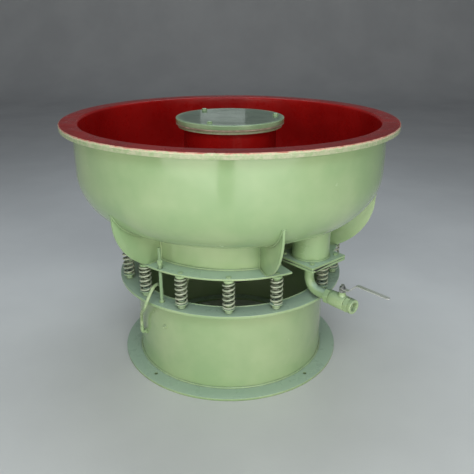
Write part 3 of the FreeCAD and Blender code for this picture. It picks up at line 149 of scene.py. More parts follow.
# The ball valve. Each START, END, DISTANCE and SLOPE is measured along the outlet from the drain's axis,
# and each LOW, TOP and HIGH is a height over the floor. The shoulder's steps are (inset, way along).
STEM_DISTANCE = 0.148
VALVE_START = 0.082
INLET_APOTHEM = 0.0232
INLET_RISE = 0.021
BARREL_START = 0.101
BARREL_RADIUS = 0.0262
BARREL_SHOULDER = ((0.0077, 0.0), (0.0037, 0.0015), (0.0016, 0.0040), (0.0006, 0.0075), (0.0, 0.0120))
BALL_ROOM_START = 0.129
BALL_ROOM = 0.0188
WATERWAY = 0.0126
CAP_START = 0.168
CAP_APOTHEM = 0.0236
CAP_RISE = 0.019
MOUTH_RING_START = 0.1865
MOUTH_RING = 0.0252
MOUTH_BORE = 0.0158
MOUTH_DEPTH = 0.016
MOUTH_PITCH = 0.0018
MOUTH_END = 0.200
NECK_LOW = 0.390
NECK_TOP = 0.404
NECK_RADIUS = 0.0120
NECK_BORE = 0.0063
PACKING_APOTHEM = 0.0103
PACKING_RISE = 0.0097
LEVER_NUT_APOTHEM = 0.0088
LEVER_NUT_RISE = 0.0058
LEVER_NUT_BORE = 0.0058
LEVER_START = 0.136
LEVER_SLOPE = (0.176, 0.204)
LEVER_END = 0.327
LEVER_LOW = 0.416
LEVER_HIGH = 0.4475
LEVER_BEND = 0.010
LEVER_HALF_WIDTH = 0.0078
LEVER_HALF_TIP = 0.0020
LEVER_TIP_ROUND = 0.010
LEVER_HALF_PLATE = 0.0015
LEVER_EDGE = 0.0005
LEVER_HOLE = 0.0061

# The studio: a floor that curves up into a wall behind the machine, and a camera whose lens is in
# millimetres and whose turns are in degrees.
FLOOR_HALF = 9.0
WALL_FOOT = 7.0
WALL_CURVE = 2.0
WALL_TOP = 5.0
CAMERA_PLACE = (0.0, -2.013, 1.249)
CAMERA_LENS = 41.4835
CAMERA_SHIFT = 0.0137
CAMERA_DOWN = 22.22
CAMERA_TURN = -0.74
CAMERA_ROLL = 0.08

# Bearings, in degrees.
SPRING_BEARINGS = [55.0 + 23.39 * index for index in range(15)]
STUD_BEARINGS = (-36.0, 90.1, 207.0)
FIN_BEARINGS = (-44.0, 17.0, 72.5, 131.0, 189.0, 252.0)
COVER_BOLT_BEARINGS = (-144.0, -24.0, 96.0)
ANCHOR_BEARING = 44.6
DRAIN_BEARING = 46.3
OUTLET_HEADING = 41.2
FLANGE_OPEN = (29.5, 51.5)
SKIRT_OPEN = (29.5, 63.0)
LEAD_BEARING = -61.0
EARTH_BEARING = -39.7
EARTH_HEIGHT = 0.218

# The lead's route: (radius, bearing, height), from its elbow on the drum to its gland on the motor.
LEAD_ROUTE = (
    (0.389, -61.0, 0.163), (0.389, -61.0, 0.200), (0.406, -54.5, 0.242), (0.432, -47.0, 0.286),
    (0.461, -40.0, 0.330), (0.456, -37.8, 0.377), (0.420, -38.8, 0.406), (0.380, -41.0, 0.393),
    (0.357, -43.3, 0.354), (0.347, -45.5, 0.304), (0.331, -49.5, 0.256), (0.297, -54.5, 0.225),
    (0.252, -59.0, 0.226), (0.214, -62.0, 0.257), (0.190, -63.0, 0.303), (0.172, -62.0, 0.351),
    (0.172, -62.0, 0.398),
)


def polar(radius, bearing, height=0.0):
    """The point at this radius, bearing and height."""
    angle = math.radians(bearing)
    return Vector((radius * math.sin(angle), -radius * math.cos(angle), height))


def at_bearing(radius, bearing, height=0.0):
    """A matrix at this place with +X pointing outwards."""
    turn = Matrix.Rotation(math.radians(bearing - 90), 4, "Z")
    return Matrix.Translation(polar(radius, bearing, height)) @ turn


LYING = Matrix.Rotation(math.radians(90), 4, "Y")
DRAIN_PLACE = at_bearing(DRAIN_CIRCLE, DRAIN_BEARING)
OUTLET_PLACE = Matrix.Translation(DRAIN_PLACE.translation) @ Matrix.Rotation(
    math.radians(OUTLET_HEADING - 90), 4, "Z")


# ---------------------------------------------------------------- camera, lights and floor

def make_camera():
    """The camera: a little above the rim, in front of the machine."""
    data = bpy.data.cameras.new("camera")
    data.sensor_width = 36.0
    data.lens = CAMERA_LENS
    data.shift_y = CAMERA_SHIFT
    camera = bpy.data.objects.new("camera", data)
    bpy.context.scene.collection.objects.link(camera)
    tilt = Matrix.Rotation(math.radians(90 - CAMERA_DOWN), 4, "X")
    turn = Matrix.Rotation(math.radians(CAMERA_TURN), 4, "Z")
    roll = Matrix.Rotation(math.radians(CAMERA_ROLL), 4, "Z")
    camera.matrix_world = Matrix.Translation(CAMERA_PLACE) @ turn @ tilt @ roll
    bpy.context.scene.camera = camera


def area_light(name, place, target, size, power, colour):
    """A rectangular soft light that faces its target."""
    data = bpy.data.lights.new(name, "AREA")
    data.shape = "RECTANGLE"
    data.size, data.size_y = size
    data.energy = power
    data.color = colour
    light = bpy.data.objects.new(name, data)
    bpy.context.scene.collection.objects.link(light)
    aim = Vector(target) - Vector(place)
    light.matrix_world = Matrix.Translation(place) @ aim.to_track_quat("-Z", "Y").to_matrix().to_4x4()
    light.visible_camera = False


def make_lights():
    """Two wide front panels with a gap like a door post, a cool sky above them and one small window."""
    area_light("door_left", (-1.72, -3.1, 1.05), (-1.72, 0, 0.85), (2.6, 2.1), 52, (1.0, 0.96, 0.86))
    area_light("door_right", (1.58, -3.1, 1.05), (1.58, 0, 0.85), (2.9, 2.1), 60, (1.0, 0.96, 0.86))
    area_light("sky", (0.0, -3.3, 3.2), (0, 0, 0.30), (3.0, 1.2), 62, (0.82, 0.94, 1.0))
    area_light("overhead", (0.1, 0.9, 3.4), (0, 0, 0.5), (2.2, 1.8), 44, (0.86, 0.95, 1.0))
    area_light("window", (-0.1, 6.0, 1.9), (0, 0, 0.93), (0.62, 0.10), 0.12, (0.9, 1.0, 0.97))
    world = bpy.data.worlds.new("world")
    bpy.context.scene.world = world
    world.use_nodes = True
    background = world.node_tree.nodes["Background"]
    background.inputs["Color"].default_value = (0.62, 0.66, 0.70, 1.0)
    background.inputs["Strength"].default_value = 0.17
    bpy.context.scene.view_settings.view_transform = "Standard"


# ---------------------------------------------------------------- material building blocks

class Shade:
    """A short way to build one node material round a Principled shader."""

    def __init__(self, name):
        self.material = bpy.data.materials.new(name)
        self.material.use_nodes = True
        self.tree = self.material.node_tree
        self.shader = self.tree.nodes["Principled BSDF"]
        self.place = self.tree.nodes.new("ShaderNodeTexCoord").outputs["Object"]

    def link(self, source, target):
        """Join one node's output to another's input."""
        self.tree.links.new(source, target)

    def fixed(self, **sockets):
        """Set sockets of the shader that are the same all over: roughness=..., coat_weight=..."""
        for name, value in sockets.items():
            self.shader.inputs[name.replace("_", " ").title().replace("Ior", "IOR")].default_value = value

    def noise(self, scale, detail=3.0, roughness=0.5, stretch=None, distortion=0.0):
        """Noise from 0 to 1 at this many features to the metre."""
        node = self.tree.nodes.new("ShaderNodeTexNoise")
        node.inputs["Scale"].default_value = scale
        node.inputs["Detail"].default_value = detail
        node.inputs["Roughness"].default_value = roughness
        node.inputs["Distortion"].default_value = distortion
        place = self.place
        if stretch:
            mapping = self.tree.nodes.new("ShaderNodeMapping")
            mapping.inputs["Scale"].default_value = stretch
            self.link(place, mapping.inputs["Vector"])
            place = mapping.outputs["Vector"]
        self.link(place, node.inputs["Vector"])
        return node.outputs["Fac"]

    def cells(self, scale):
        """Distance to the nearest of many scattered points."""
        node = self.tree.nodes.new("ShaderNodeTexVoronoi")
        node.inputs["Scale"].default_value = scale
        node.inputs["Randomness"].default_value = 1.0
        self.link(self.place, node.inputs["Vector"])
        return node.outputs["Distance"]

    def math(self, operation, first, second=None):
        """Arithmetic on one or two values, each a number or a socket."""
        node = self.tree.nodes.new("ShaderNodeMath")
        node.operation = operation
        for index, value in enumerate((first, second)):
            if value is None:
                continue
            if isinstance(value, (int, float)):
                node.inputs[index].default_value = value
            else:
                self.link(value, node.inputs[index])
        return node.outputs[0]

    def span(self, value, low, high, out_low=0.0, out_high=1.0):
        """Map a value's range to another, smoothly and clamped."""
        node = self.tree.nodes.new("ShaderNodeMapRange")
        node.interpolation_type = "SMOOTHSTEP"
        limits = {"From Min": low, "From Max": high, "To Min": out_low, "To Max": out_high}
        for name, number in limits.items():
            node.inputs[name].default_value = number
        self.link(value, node.inputs["Value"])
        return node.outputs["Result"]

    def mix(self, share, first, second):
        """Mix two colours, each a tuple or a socket."""
        node = self.tree.nodes.new("ShaderNodeMix")
        node.data_type = "RGBA"
        sockets = [socket for socket in node.inputs if socket.type == "RGBA"]
        factor = [socket for socket in node.inputs if socket.type == "VALUE"][0]
        for socket, colour in zip(sockets, (first, second)):
            if isinstance(colour, tuple):
                socket.default_value = (*colour, 1.0)
            else:
                self.link(colour, socket)
        self.link(share, factor)
        return [socket for socket in node.outputs if socket.type == "RGBA"][0]

    def facing_up(self):
        """1 where the surface faces up, 0 where it is upright, -1 where it faces down."""
        geometry = self.tree.nodes.new("ShaderNodeNewGeometry")
        split = self.tree.nodes.new("ShaderNodeSeparateXYZ")
        self.link(geometry.outputs["Normal"], split.inputs[0])
        return split.outputs["Z"]

    def coordinates(self):
        """The place's x, y and z in metres."""
        split = self.tree.nodes.new("ShaderNodeSeparateXYZ")
        self.link(self.place, split.inputs[0])
        return split.outputs["X"], split.outputs["Y"], split.outputs["Z"]

    def axis_distance(self):
        """Distance from the machine's axis, in metres."""
        x, y, _ = self.coordinates()
        squares = self.math("ADD", self.math("MULTIPLY", x, x), self.math("MULTIPLY", y, y))
        return self.math("SQRT", squares)

    def crevice(self, reach):
        """Ambient occlusion, used for painted shade: 1 in the open, falling to 0 in tight corners."""
        node = self.tree.nodes.new("ShaderNodeAmbientOcclusion")
        node.samples = 6
        node.inputs["Distance"].default_value = reach
        return node.outputs["AO"]

    def bump(self, height, distance, under=None):
        """A surface this rough, laid over another bump if one is given."""
        node = self.tree.nodes.new("ShaderNodeBump")
        node.inputs["Strength"].default_value = 1.0
        node.inputs["Distance"].default_value = distance
        self.link(height, node.inputs["Height"])
        if under is not None:
            self.link(under, node.inputs["Normal"])
        return node.outputs["Normal"]

    def finish(self, colour=None, roughness=None, normal=None):
        """Link what varies over the surface and give the material back."""
        for socket, name in ((colour, "Base Color"), (roughness, "Roughness"), (normal, "Normal")):
            if socket is not None:
                self.link(socket, self.shader.inputs[name])
        return self.material


# ---------------------------------------------------------------- materials

PAINT = (0.262, 0.385, 0.194)
PAINT_PALE = (0.352, 0.455, 0.252)
PAINT_DEEP = (0.158, 0.282, 0.135)
# Up-facing faces turn towards this: partly a dusting, partly a painted reflection of the cool sky.
PAINT_DUST_AND_SKY_SHEEN = (0.400, 0.530, 0.455)
# Dark for corners: grime, and painted shade where light does not reach.
GRIME_AND_SHADE = (0.070, 0.090, 0.045)


def painted_steel(name, peel=0.0001, waviness=0.0012, gloss=0.26, deep=0.5, dust_and_sheen=0.6):
    """Hand-sprayed pale green enamel: patchy tone, orange peel, a dusting and a painted sky sheen on top
    faces, grime and painted shade in corners.
    """
    shade = Shade(name)
    patches = shade.span(shade.noise(3.2, 4.0, 0.55), 0.34, 0.68)
    colour = shade.mix(patches, PAINT, PAINT_PALE)
    passes = shade.span(shade.noise(5.0, 3.0, 0.45, stretch=(1.0, 1.0, 0.35)), 0.48, 0.80, 0.0, deep * 0.7)
    colour = shade.mix(passes, colour, PAINT_DEEP)
    # Up-facing faces paler and bluer: a dusting and a painted sky sheen.
    up = shade.span(shade.facing_up(), 0.35, 0.95, 0.0, dust_and_sheen)
    colour = shade.mix(up, colour, PAINT_DUST_AND_SKY_SHEEN)
    # Darker in corners by ambient occlusion, in patches: painted shade, and grime.
    corners = shade.span(shade.crevice(0.022), 0.25, 0.85, 0.75, 0.0)
    grime_and_shade = shade.math("MULTIPLY", corners, shade.span(shade.noise(26.0, 4.0, 0.6), 0.2, 0.75))
    colour = shade.mix(grime_and_shade, colour, GRIME_AND_SHADE)
    specks = shade.span(shade.cells(95.0), 0.03, 0.075, 0.5, 0.0)
    specks = shade.math("MULTIPLY", specks, shade.span(shade.noise(5.0), 0.52, 0.7))
    colour = shade.mix(specks, colour, PAINT_DEEP)
    rough = shade.span(shade.noise(14.0, 4.0, 0.6), 0.25, 0.8, gloss - 0.07, gloss + 0.13)
    sheet = shade.bump(shade.noise(4.5, 2.0, 0.4), waviness)
    normal = shade.bump(shade.noise(240.0, 2.0, 0.5), peel, under=sheet)
    shade.fixed(coat_weight=0.30, coat_roughness=0.07, specular_ior_level=0.45)
    return shade.finish(colour, rough, normal)


def overspray_rim(name):
    """The rim plate's edge: rough cut, with green and cream overspray in speckles."""
    shade = Shade(name)
    patches = shade.span(shade.noise(60.0, 5.0, 0.7), 0.35, 0.65)
    colour = shade.mix(patches, (0.27, 0.36, 0.19), (0.42, 0.43, 0.29))
    flecks = shade.span(shade.cells(240.0), 0.10, 0.22, 1.0, 0.0)
    flecks = shade.math("MULTIPLY", flecks, shade.span(shade.noise(35.0), 0.45, 0.6))
    colour = shade.mix(flecks, colour, (0.24, 0.34, 0.17))
    worn = shade.span(shade.noise(90.0, 4.0, 0.65), 0.60, 0.70, 0.0, 0.7)
    colour = shade.mix(worn, colour, (0.60, 0.55, 0.42))
    normal = shade.bump(shade.noise(130.0, 4.0, 0.6), 0.0006)
    shade.fixed(roughness=0.42, coat_weight=0.15)
    return shade.finish(colour, None, normal)


def red_liner(name):
    """Cast red polyurethane, glossy and scuffed, with green overspray on the lip's edge."""
    shade = Shade(name)
    tone = shade.span(shade.noise(4.0, 4.0, 0.6), 0.3, 0.72)
    colour = shade.mix(tone, (0.255, 0.0035, 0.003), (0.36, 0.007, 0.006))
    streaks = shade.noise(16.0, 5.0, 0.6, stretch=(1.0, 1.0, 0.07), distortion=0.3)
    colour = shade.mix(shade.span(streaks, 0.60, 0.80, 0.0, 0.35), colour, (0.42, 0.075, 0.060))
    # Darker on up-facing faces, in patches: painted shade.
    up = shade.span(shade.facing_up(), 0.55, 0.98, 0.0, 0.70)
    dust_and_top_shade = shade.math("MULTIPLY", up, shade.span(shade.noise(9.0, 4.0, 0.6), 0.25, 0.7, 0.35, 1.0))
    colour = shade.mix(dust_and_top_shade, colour, (0.115, 0.006, 0.005))
    radius = shade.axis_distance()
    _, _, height = shade.coordinates()
    wander = shade.math("MULTIPLY", shade.math("SUBTRACT", shade.noise(34.0, 3.0, 0.6), 0.5), 0.010)
    edge = shade.span(radius, RIM_RADIUS - 0.0035, RIM_RADIUS - 0.0012)
    below = shade.span(shade.math("ADD", height, wander), RIM_TOP - 0.0035, RIM_TOP - 0.0012, 1.0, 0.0)
    spray = shade.math("MULTIPLY", edge, below)
    grains = shade.span(shade.noise(150.0, 3.0, 0.6), 0.35, 0.65)
    speckle = shade.mix(grains, (0.40, 0.50, 0.29), (0.62, 0.50, 0.38))
    pink = shade.mix(shade.span(shade.noise(50.0), 0.4, 0.6), (0.45, 0.16, 0.12), (0.60, 0.36, 0.27))
    colour = shade.mix(edge, colour, pink)
    colour = shade.mix(spray, colour, speckle)
    rough = shade.span(shade.noise(22.0, 5.0, 0.65), 0.3, 0.8, 0.24, 0.46)
    swell = shade.bump(shade.noise(9.0, 2.0, 0.4), 0.0016)
    normal = shade.bump(shade.noise(160.0, 3.0, 0.5), 0.00012, under=swell)
    shade.fixed(specular_ior_level=0.22)
    return shade.finish(colour, rough, normal)


def wet_cover(name):
    """The cover: darker glossy enamel on its top face, pale overspray round its edge."""
    shade = Shade(name)
    radius = shade.axis_distance()
    top = shade.span(shade.facing_up(), 0.6, 0.98)
    inner = shade.span(radius, 0.176, 0.193, 1.0, 0.35)
    deep = shade.math("MULTIPLY", top, inner)
    patches = shade.span(shade.noise(11.0, 4.0, 0.6), 0.35, 0.7)
    pale = shade.mix(patches, (0.24, 0.37, 0.20), (0.36, 0.48, 0.28))
    dark = shade.mix(patches, (0.055, 0.105, 0.055), (0.090, 0.150, 0.085))
    colour = shade.mix(deep, pale, dark)
    rough = shade.span(shade.noise(17.0, 4.0, 0.6), 0.35, 0.8, 0.10, 0.28)
    sheet = shade.bump(shade.noise(13.0, 3.0, 0.5), 0.0022)
    normal = shade.bump(shade.noise(190.0, 2.0), 0.00008, under=sheet)
    shade.fixed(coat_weight=0.5, coat_roughness=0.06)
    return shade.finish(colour, rough, normal)


def rubber(name, dark, pale):
    """Matt rubber or plastic between two tones."""
    shade = Shade(name)
    colour = shade.mix(shade.span(shade.noise(45.0, 4.0, 0.6), 0.35, 0.7), dark, pale)
    normal = shade.bump(shade.noise(220.0, 3.0), 0.0003)
    shade.fixed(roughness=0.62)
    return shade.finish(colour, None, normal)


def spring_enamel(name):
    """Pale grey-cream enamel on the coils, thin over the steel, a dusting below and painted shade inside."""
    shade = Shade(name)
    patches = shade.span(shade.noise(40.0, 4.0, 0.6), 0.35, 0.7)
    colour = shade.mix(patches, (0.28, 0.33, 0.23), (0.42, 0.45, 0.34))
    chips = shade.span(shade.noise(120.0, 4.0, 0.7), 0.66, 0.74, 0.0, 0.8)
    colour = shade.mix(chips, colour, (0.16, 0.15, 0.12))
    _, _, height = shade.coordinates()
    foot = shade.span(height, RING_TOP + 0.004, RING_TOP + 0.030, 0.75, 0.0)
    colour = shade.mix(foot, colour, (0.26, 0.34, 0.22))
    # Dark inside the coils by ambient occlusion: painted shade.
    inside = shade.span(shade.crevice(0.040), 0.34, 0.72, 0.85, 0.0)
    colour = shade.mix(inside, colour, (0.055, 0.070, 0.045))
    normal = shade.bump(shade.noise(300.0, 3.0), 0.0002)
    shade.fixed(roughness=0.34, coat_weight=0.2)
    return shade.finish(colour, None, normal)


def bare_steel(name, colour_low=(0.28, 0.29, 0.29), colour_high=(0.52, 0.53, 0.52), rough=0.34, rust=0.0,
               metal=0.9):
    """Bare or plated steel with fine brushing, smears and, if asked, some rust."""
    shade = Shade(name)
    colour = shade.mix(shade.span(shade.noise(18.0, 4.0, 0.6), 0.3, 0.7), colour_low, colour_high)
    if rust > 0.0:
        spots = shade.span(shade.noise(30.0, 5.0, 0.7), 0.52, 0.68, 0.0, rust)
        colour = shade.mix(spots, colour, (0.12, 0.055, 0.025))
    grain = shade.noise(220.0, 3.0, 0.5)
    roughness = shade.span(grain, 0.25, 0.8, rough - 0.1, rough + 0.16)
    normal = shade.bump(grain, 0.00012)
    shade.fixed(metallic=metal)
    return shade.finish(colour, roughness, normal)


def cast_paint(name, tone):
    """Machinery paint over a sand casting."""
    shade = Shade(name)
    dark = tuple(value * 0.55 for value in tone)
    colour = shade.mix(shade.span(shade.noise(16.0, 5.0, 0.6), 0.3, 0.7), dark, tone)
    # Paler up-facing faces here are a dusting.
    dust_and_top_shade = shade.span(shade.facing_up(), 0.3, 0.95, 0.0, 0.5)
    colour = shade.mix(dust_and_top_shade, colour, (0.22, 0.21, 0.18))
    normal = shade.bump(shade.noise(260.0, 4.0, 0.6), 0.0005)
    shade.fixed(roughness=0.48)
    return shade.finish(colour, None, normal)


def copper_winding(name):
    """Enamelled copper wire, wound in fine rows."""
    shade = Shade(name)
    colour = shade.mix(shade.span(shade.noise(12.0, 4.0), 0.3, 0.7), (0.30, 0.10, 0.035), (0.52, 0.21, 0.08))
    wire = shade.noise(190.0, 2.0, 0.5, stretch=(1.0, 1.0, 6.0))
    shade.fixed(metallic=0.75, roughness=0.36)
    return shade.finish(colour, None, shade.bump(wire, 0.0006))


def pale_floor(name):
    """The studio's plain pale floor."""
    shade = Shade(name)
    patches = shade.span(shade.noise(1.3, 4.0, 0.55), 0.3, 0.7)
    colour = shade.mix(patches, (0.60, 0.605, 0.615), (0.66, 0.665, 0.672))
    rough = shade.span(shade.noise(3.0, 4.0), 0.3, 0.7, 0.48, 0.62)
    shade.fixed(specular_ior_level=0.35)
    return shade.finish(colour, rough, shade.bump(shade.noise(70.0, 4.0), 0.0003))


def make_materials():
    """Every material by its short key."""
    return {
        "sheet": painted_steel("green_sheet", waviness=0.0026, gloss=0.16),
        "plate": painted_steel("green_plate", waviness=0.0008, gloss=0.30, dust_and_sheen=0.75),
        "cast": painted_steel("green_casting", 0.0005, waviness=0.0006, gloss=0.30, deep=0.3, dust_and_sheen=0.2),
        "fastener": painted_steel("green_fastener", 0.0003, waviness=0.0, gloss=0.34, deep=0.7, dust_and_sheen=0.3),
        "weld": painted_steel("green_weld", peel=0.0004, waviness=0.0, gloss=0.28, deep=0.2, dust_and_sheen=0.2),
        "rim": overspray_rim("green_rim"),
        "liner": red_liner("red_liner"),
        "cover": wet_cover("green_cover"),
        "gasket": rubber("pink_gasket", (0.30, 0.24, 0.17), (0.52, 0.40, 0.30)),
        "seal": rubber("black_seal", (0.03, 0.03, 0.03), (0.07, 0.07, 0.07)),
        "spring": spring_enamel("spring_enamel"),
        "post": painted_steel("green_post", peel=0.0003, waviness=0.0, gloss=0.32, deep=0.2, dust_and_sheen=0.9),
        "steel": bare_steel("plated_steel"),
        "lever": bare_steel("lever_steel", (0.50, 0.51, 0.49), (0.66, 0.67, 0.64), 0.42, 0.08, metal=0.45),
        "stainless": bare_steel("stainless_steel", (0.40, 0.41, 0.42), (0.56, 0.57, 0.58), 0.24),
        "forged": bare_steel("weight_steel", (0.05, 0.05, 0.05), (0.14, 0.14, 0.135), 0.48, rust=0.5),
        "motor": cast_paint("motor_paint", (0.085, 0.135, 0.120)),
        "copper": copper_winding("copper_winding"),
        "lead": rubber("lead_jacket", (0.26, 0.37, 0.19), (0.42, 0.52, 0.31)),
        "plastic": rubber("seat_plastic", (0.55, 0.55, 0.53), (0.68, 0.68, 0.65)),
        "floor": pale_floor("studio_floor"),
    }


# ---------------------------------------------------------------- mesh building blocks

def finished(name, mesh, material, body=None, stands_for=(), sharp=32.0):
    """Make the piece: smooth shading with sharp edges, its material, its body and what it replaces."""
    mesh.polygons.foreach_set("use_smooth", [True] * len(mesh.polygons))
    mesh.set_sharp_from_angle(angle=math.radians(sharp))
    mesh.materials.clear()
    mesh.materials.append(material)
    piece = bpy.data.objects.new(name, mesh)
    bpy.context.scene.collection.objects.link(piece)
    if body:
        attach(piece, body)
    if stands_for:
        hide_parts(*stands_for)
    return piece


def weld_piece(name, beads, material, body):
    """Weld beads as one piece."""
    return finished(name, joined(name, beads), material, body, sharp=70)


def to_mesh(builder, name):
    """Turn a bmesh into a mesh with its faces pointing outwards."""
    bmesh.ops.remove_doubles(builder, verts=builder.verts, dist=1e-6)
    bmesh.ops.recalc_face_normals(builder, faces=builder.faces)
    mesh = bpy.data.meshes.new(name)
    builder.to_mesh(mesh)
    builder.free()
    return mesh


def joined(name, meshes):
    """Several meshes as one."""
    builder = bmesh.new()
    for mesh in meshes:
        builder.from_mesh(mesh)
    whole = bpy.data.meshes.new(name)
    builder.to_mesh(whole)
    builder.free()
    return whole


def moved(mesh, matrix):
    """A copy of a mesh, put somewhere else."""
    copy = mesh.copy()
    copy.transform(matrix)
    return copy


def bridge(builder, rings, closed=False):
    """Faces between neighbouring rings of vertices, and round to the first ring if closed."""
    for here, ahead in zip(rings, rings[1:] + (rings[:1] if closed else [])):
        for step in range(len(here)):
            beside = (step + 1) % len(here)
            builder.faces.new((here[step], here[beside], ahead[beside], ahead[step]))


def cap_ends(builder, rings):
    """A face on the first ring and one on the last."""
    builder.faces.new(rings[0])
    builder.faces.new(rings[-1])


def arc(centre, radius, first, last, steps):
    """Points on an arc in the outline's plane, angles in degrees from +across towards +up."""
    points = []
    for index in range(steps + 1):
        angle = math.radians(first + (last - first) * index / steps)
        points.append((centre[0] + radius * math.cos(angle), centre[1] + radius * math.sin(angle)))
    return points


def arc_between(first, last, radius, steps):
    """Points on the anticlockwise arc of this radius from one point to another."""
    chord = Vector(last) - Vector(first)
    rise = math.sqrt(radius ** 2 - (chord.length / 2) ** 2)
    centre = Vector(first) + chord / 2 + Vector((-chord.y, chord.x)).normalized() * rise
    ends = [math.degrees(math.atan2(y - centre.y, x - centre.x)) for x, y in (first, last)]
    return arc(centre, radius, ends[0], ends[1], steps)


def rounded(corners, steps=3):
    """A closed outline whose corners are rounded. A corner is (across, up) or (across, up, radius)."""
    points = []
    for index, corner in enumerate(corners):
        here = Vector(corner[:2])
        if len(corner) == 2:
            points.append(tuple(here))
            continue
        back = (Vector(corners[index - 1][:2]) - here).normalized()
        ahead = (Vector(corners[(index + 1) % len(corners)][:2]) - here).normalized()
        half = back.angle(ahead) / 2
        centre = here + (back + ahead).normalized() * (corner[2] / math.sin(half))
        start = here + back * (corner[2] / math.tan(half)) - centre
        end = here + ahead * (corner[2] / math.tan(half)) - centre
        turn = start.angle_signed(end)
        for step in range(steps + 1):
            points.append(tuple(centre + Matrix.Rotation(-turn * step / steps, 2) @ start))
    return points


def lathe(outline, segments=192, start=0.0, sweep=360.0, wobble=0.0):
    """Turn a closed outline of (radius, height) about Z. Wobble is the sheet's out-of-roundness."""
    builder = bmesh.new()
    whole = sweep >= 360.0
    columns = []
    for index in range(segments if whole else segments + 1):
        bearing = start + sweep * index / segments
        column = []
        for radius, height in outline:
            place = polar(radius, bearing, height)
            if wobble:
                ripple = noise.noise(place * 3.5) + 0.4 * noise.noise(place * 9.0)
                place = polar(radius + wobble * ripple, bearing, height)
            column.append(builder.verts.new(place))
        columns.append(column)
    for index in range(segments):
        here = columns[index]
        ahead = columns[(index + 1) % len(columns)]
        for low in range(len(outline)):
            high = (low + 1) % len(outline)
            builder.faces.new((here[low], ahead[low], ahead[high], here[high]))
    if not whole:
        cap_ends(builder, columns)
    return to_mesh(builder, "lathe")


def frames_along(points, closed):
    """For each point of a line: its place and two directions across it that don't twist."""
    count = len(points)
    tangents = []
    for index in range(count):
        before = points[index - 1] if (closed or index > 0) else points[index]
        after = points[(index + 1) % count] if (closed or index < count - 1) else points[index]
        tangents.append((after - before).normalized())
    side = tangents[0].orthogonal().normalized()
    result = []
    for point, tangent in zip(points, tangents):
        side = (side - tangent * side.dot(tangent)).normalized()
        result.append((point, side, tangent.cross(side)))
    return result


def tube(points, radius, sides=12, closed=False):
    """A tube along a line. The radius is a number or a function of the point's index."""
    builder = bmesh.new()
    rings = []
    for index, (point, side, up) in enumerate(frames_along(points, closed)):
        size = radius(index) if callable(radius) else radius
        ring = []
        for step in range(sides):
            angle = 2 * math.pi * step / sides
            across = side * (size * math.cos(angle)) + up * (size * math.sin(angle))
            ring.append(builder.verts.new(point + across))
        rings.append(ring)
    bridge(builder, rings, closed)
    if not closed:
        cap_ends(builder, rings)
    return to_mesh(builder, "tube")


def weld(points, size, closed=False, seed=0, pitch=0.0045):
    """A hand-laid weld bead: an uneven bead with overlapping ripples."""
    step = (points[1] - points[0]).length

    def radius(index):
        along = index * step
        ripple = (along / pitch) % 1.0
        swell = noise.noise(Vector((along * 24.0, seed * 7.1, 0.0)))
        return size * (0.84 + 0.20 * math.sin(math.pi * ripple) + 0.22 * swell)

    return tube(points, radius, sides=8, closed=closed)


def ring_line(radius, height, start=0.0, sweep=360.0):
    """Points round the machine at a radius and height, close together."""
    count = int(math.radians(sweep) * radius / WELD_GAP)
    steps = range(count if sweep >= 360.0 else count + 1)
    return [polar(radius, start + sweep * index / count, height) for index in steps]


def ring_angles(radius):
    """Angles in radians whose points on a circle of this radius are close together."""
    count = int(2 * math.pi * radius / WELD_GAP)
    return [2 * math.pi * index / count for index in range(count)]


def drain_ring(radius, height, outset=0.0):
    """Points round a tube on the drain's axis, this far out from its wall."""
    reach = radius + outset
    return [OUTLET_PLACE @ Vector((reach * math.cos(angle), reach * math.sin(angle), height))
            for angle in ring_angles(radius)]


def between(first, last):
    """Points on a straight line, close together."""
    count = int((last - first).length / WELD_GAP)
    return [first.lerp(last, index / count) for index in range(count + 1)]


def slab(outline, low, thickness, edge, holes=()):
    """A flat plate from an outline of (x, y), with rounded edges and round holes of (x, y, radius)."""
    builder = bmesh.new()
    bottom = [builder.verts.new((x, y, low)) for x, y in outline]
    face = builder.faces.new(bottom)
    grown = bmesh.ops.extrude_face_region(builder, geom=[face])
    top = [item for item in grown["geom"] if isinstance(item, bmesh.types.BMVert)]
    bmesh.ops.translate(builder, verts=top, vec=(0, 0, thickness))
    bmesh.ops.recalc_face_normals(builder, faces=builder.faces)
    bmesh.ops.bevel(builder, geom=list(builder.edges), offset=edge, segments=2, affect="EDGES",
                    profile=0.6)
    mesh = to_mesh(builder, "slab")
    if holes:
        tools = [cylinder(radius, low - OVERCUT, thickness + 2 * OVERCUT, (x, y)) for x, y, radius in holes]
        mesh = carved(mesh, tools)
    return mesh


def cylinder(radius, low, rise, centre=(0.0, 0.0), sides=40):
    """A plain cutting tool."""
    builder = bmesh.new()
    bmesh.ops.create_cone(builder, cap_ends=True, segments=sides, radius1=radius, radius2=radius, depth=rise)
    mesh = to_mesh(builder, "tool")
    mesh.transform(Matrix.Translation((centre[0], centre[1], low + rise / 2)))
    return mesh


def drills(radius, circle, bearings, low, rise):
    """Cutting tools for round holes at these bearings."""
    places = [polar(circle, bearing) for bearing in bearings]
    return [cylinder(radius, low, rise, (place.x, place.y)) for place in places]


def carved(mesh, tools):
    """A mesh with several closed tools cut out of it."""
    work = bpy.data.objects.new("work", mesh)
    cutter = bpy.data.objects.new("cutter", joined("tools", tools))
    for item in (work, cutter):
        bpy.context.scene.collection.objects.link(item)
    modifier = work.modifiers.new("cut", "BOOLEAN")
    modifier.operation = "DIFFERENCE"
    modifier.solver = "EXACT"
    modifier.object = cutter
    bpy.context.view_layer.update()
    result = bpy.data.meshes.new_from_object(work.evaluated_get(bpy.context.evaluated_depsgraph_get()))
    for item in (work, cutter):
        bpy.data.objects.remove(item)
    return result


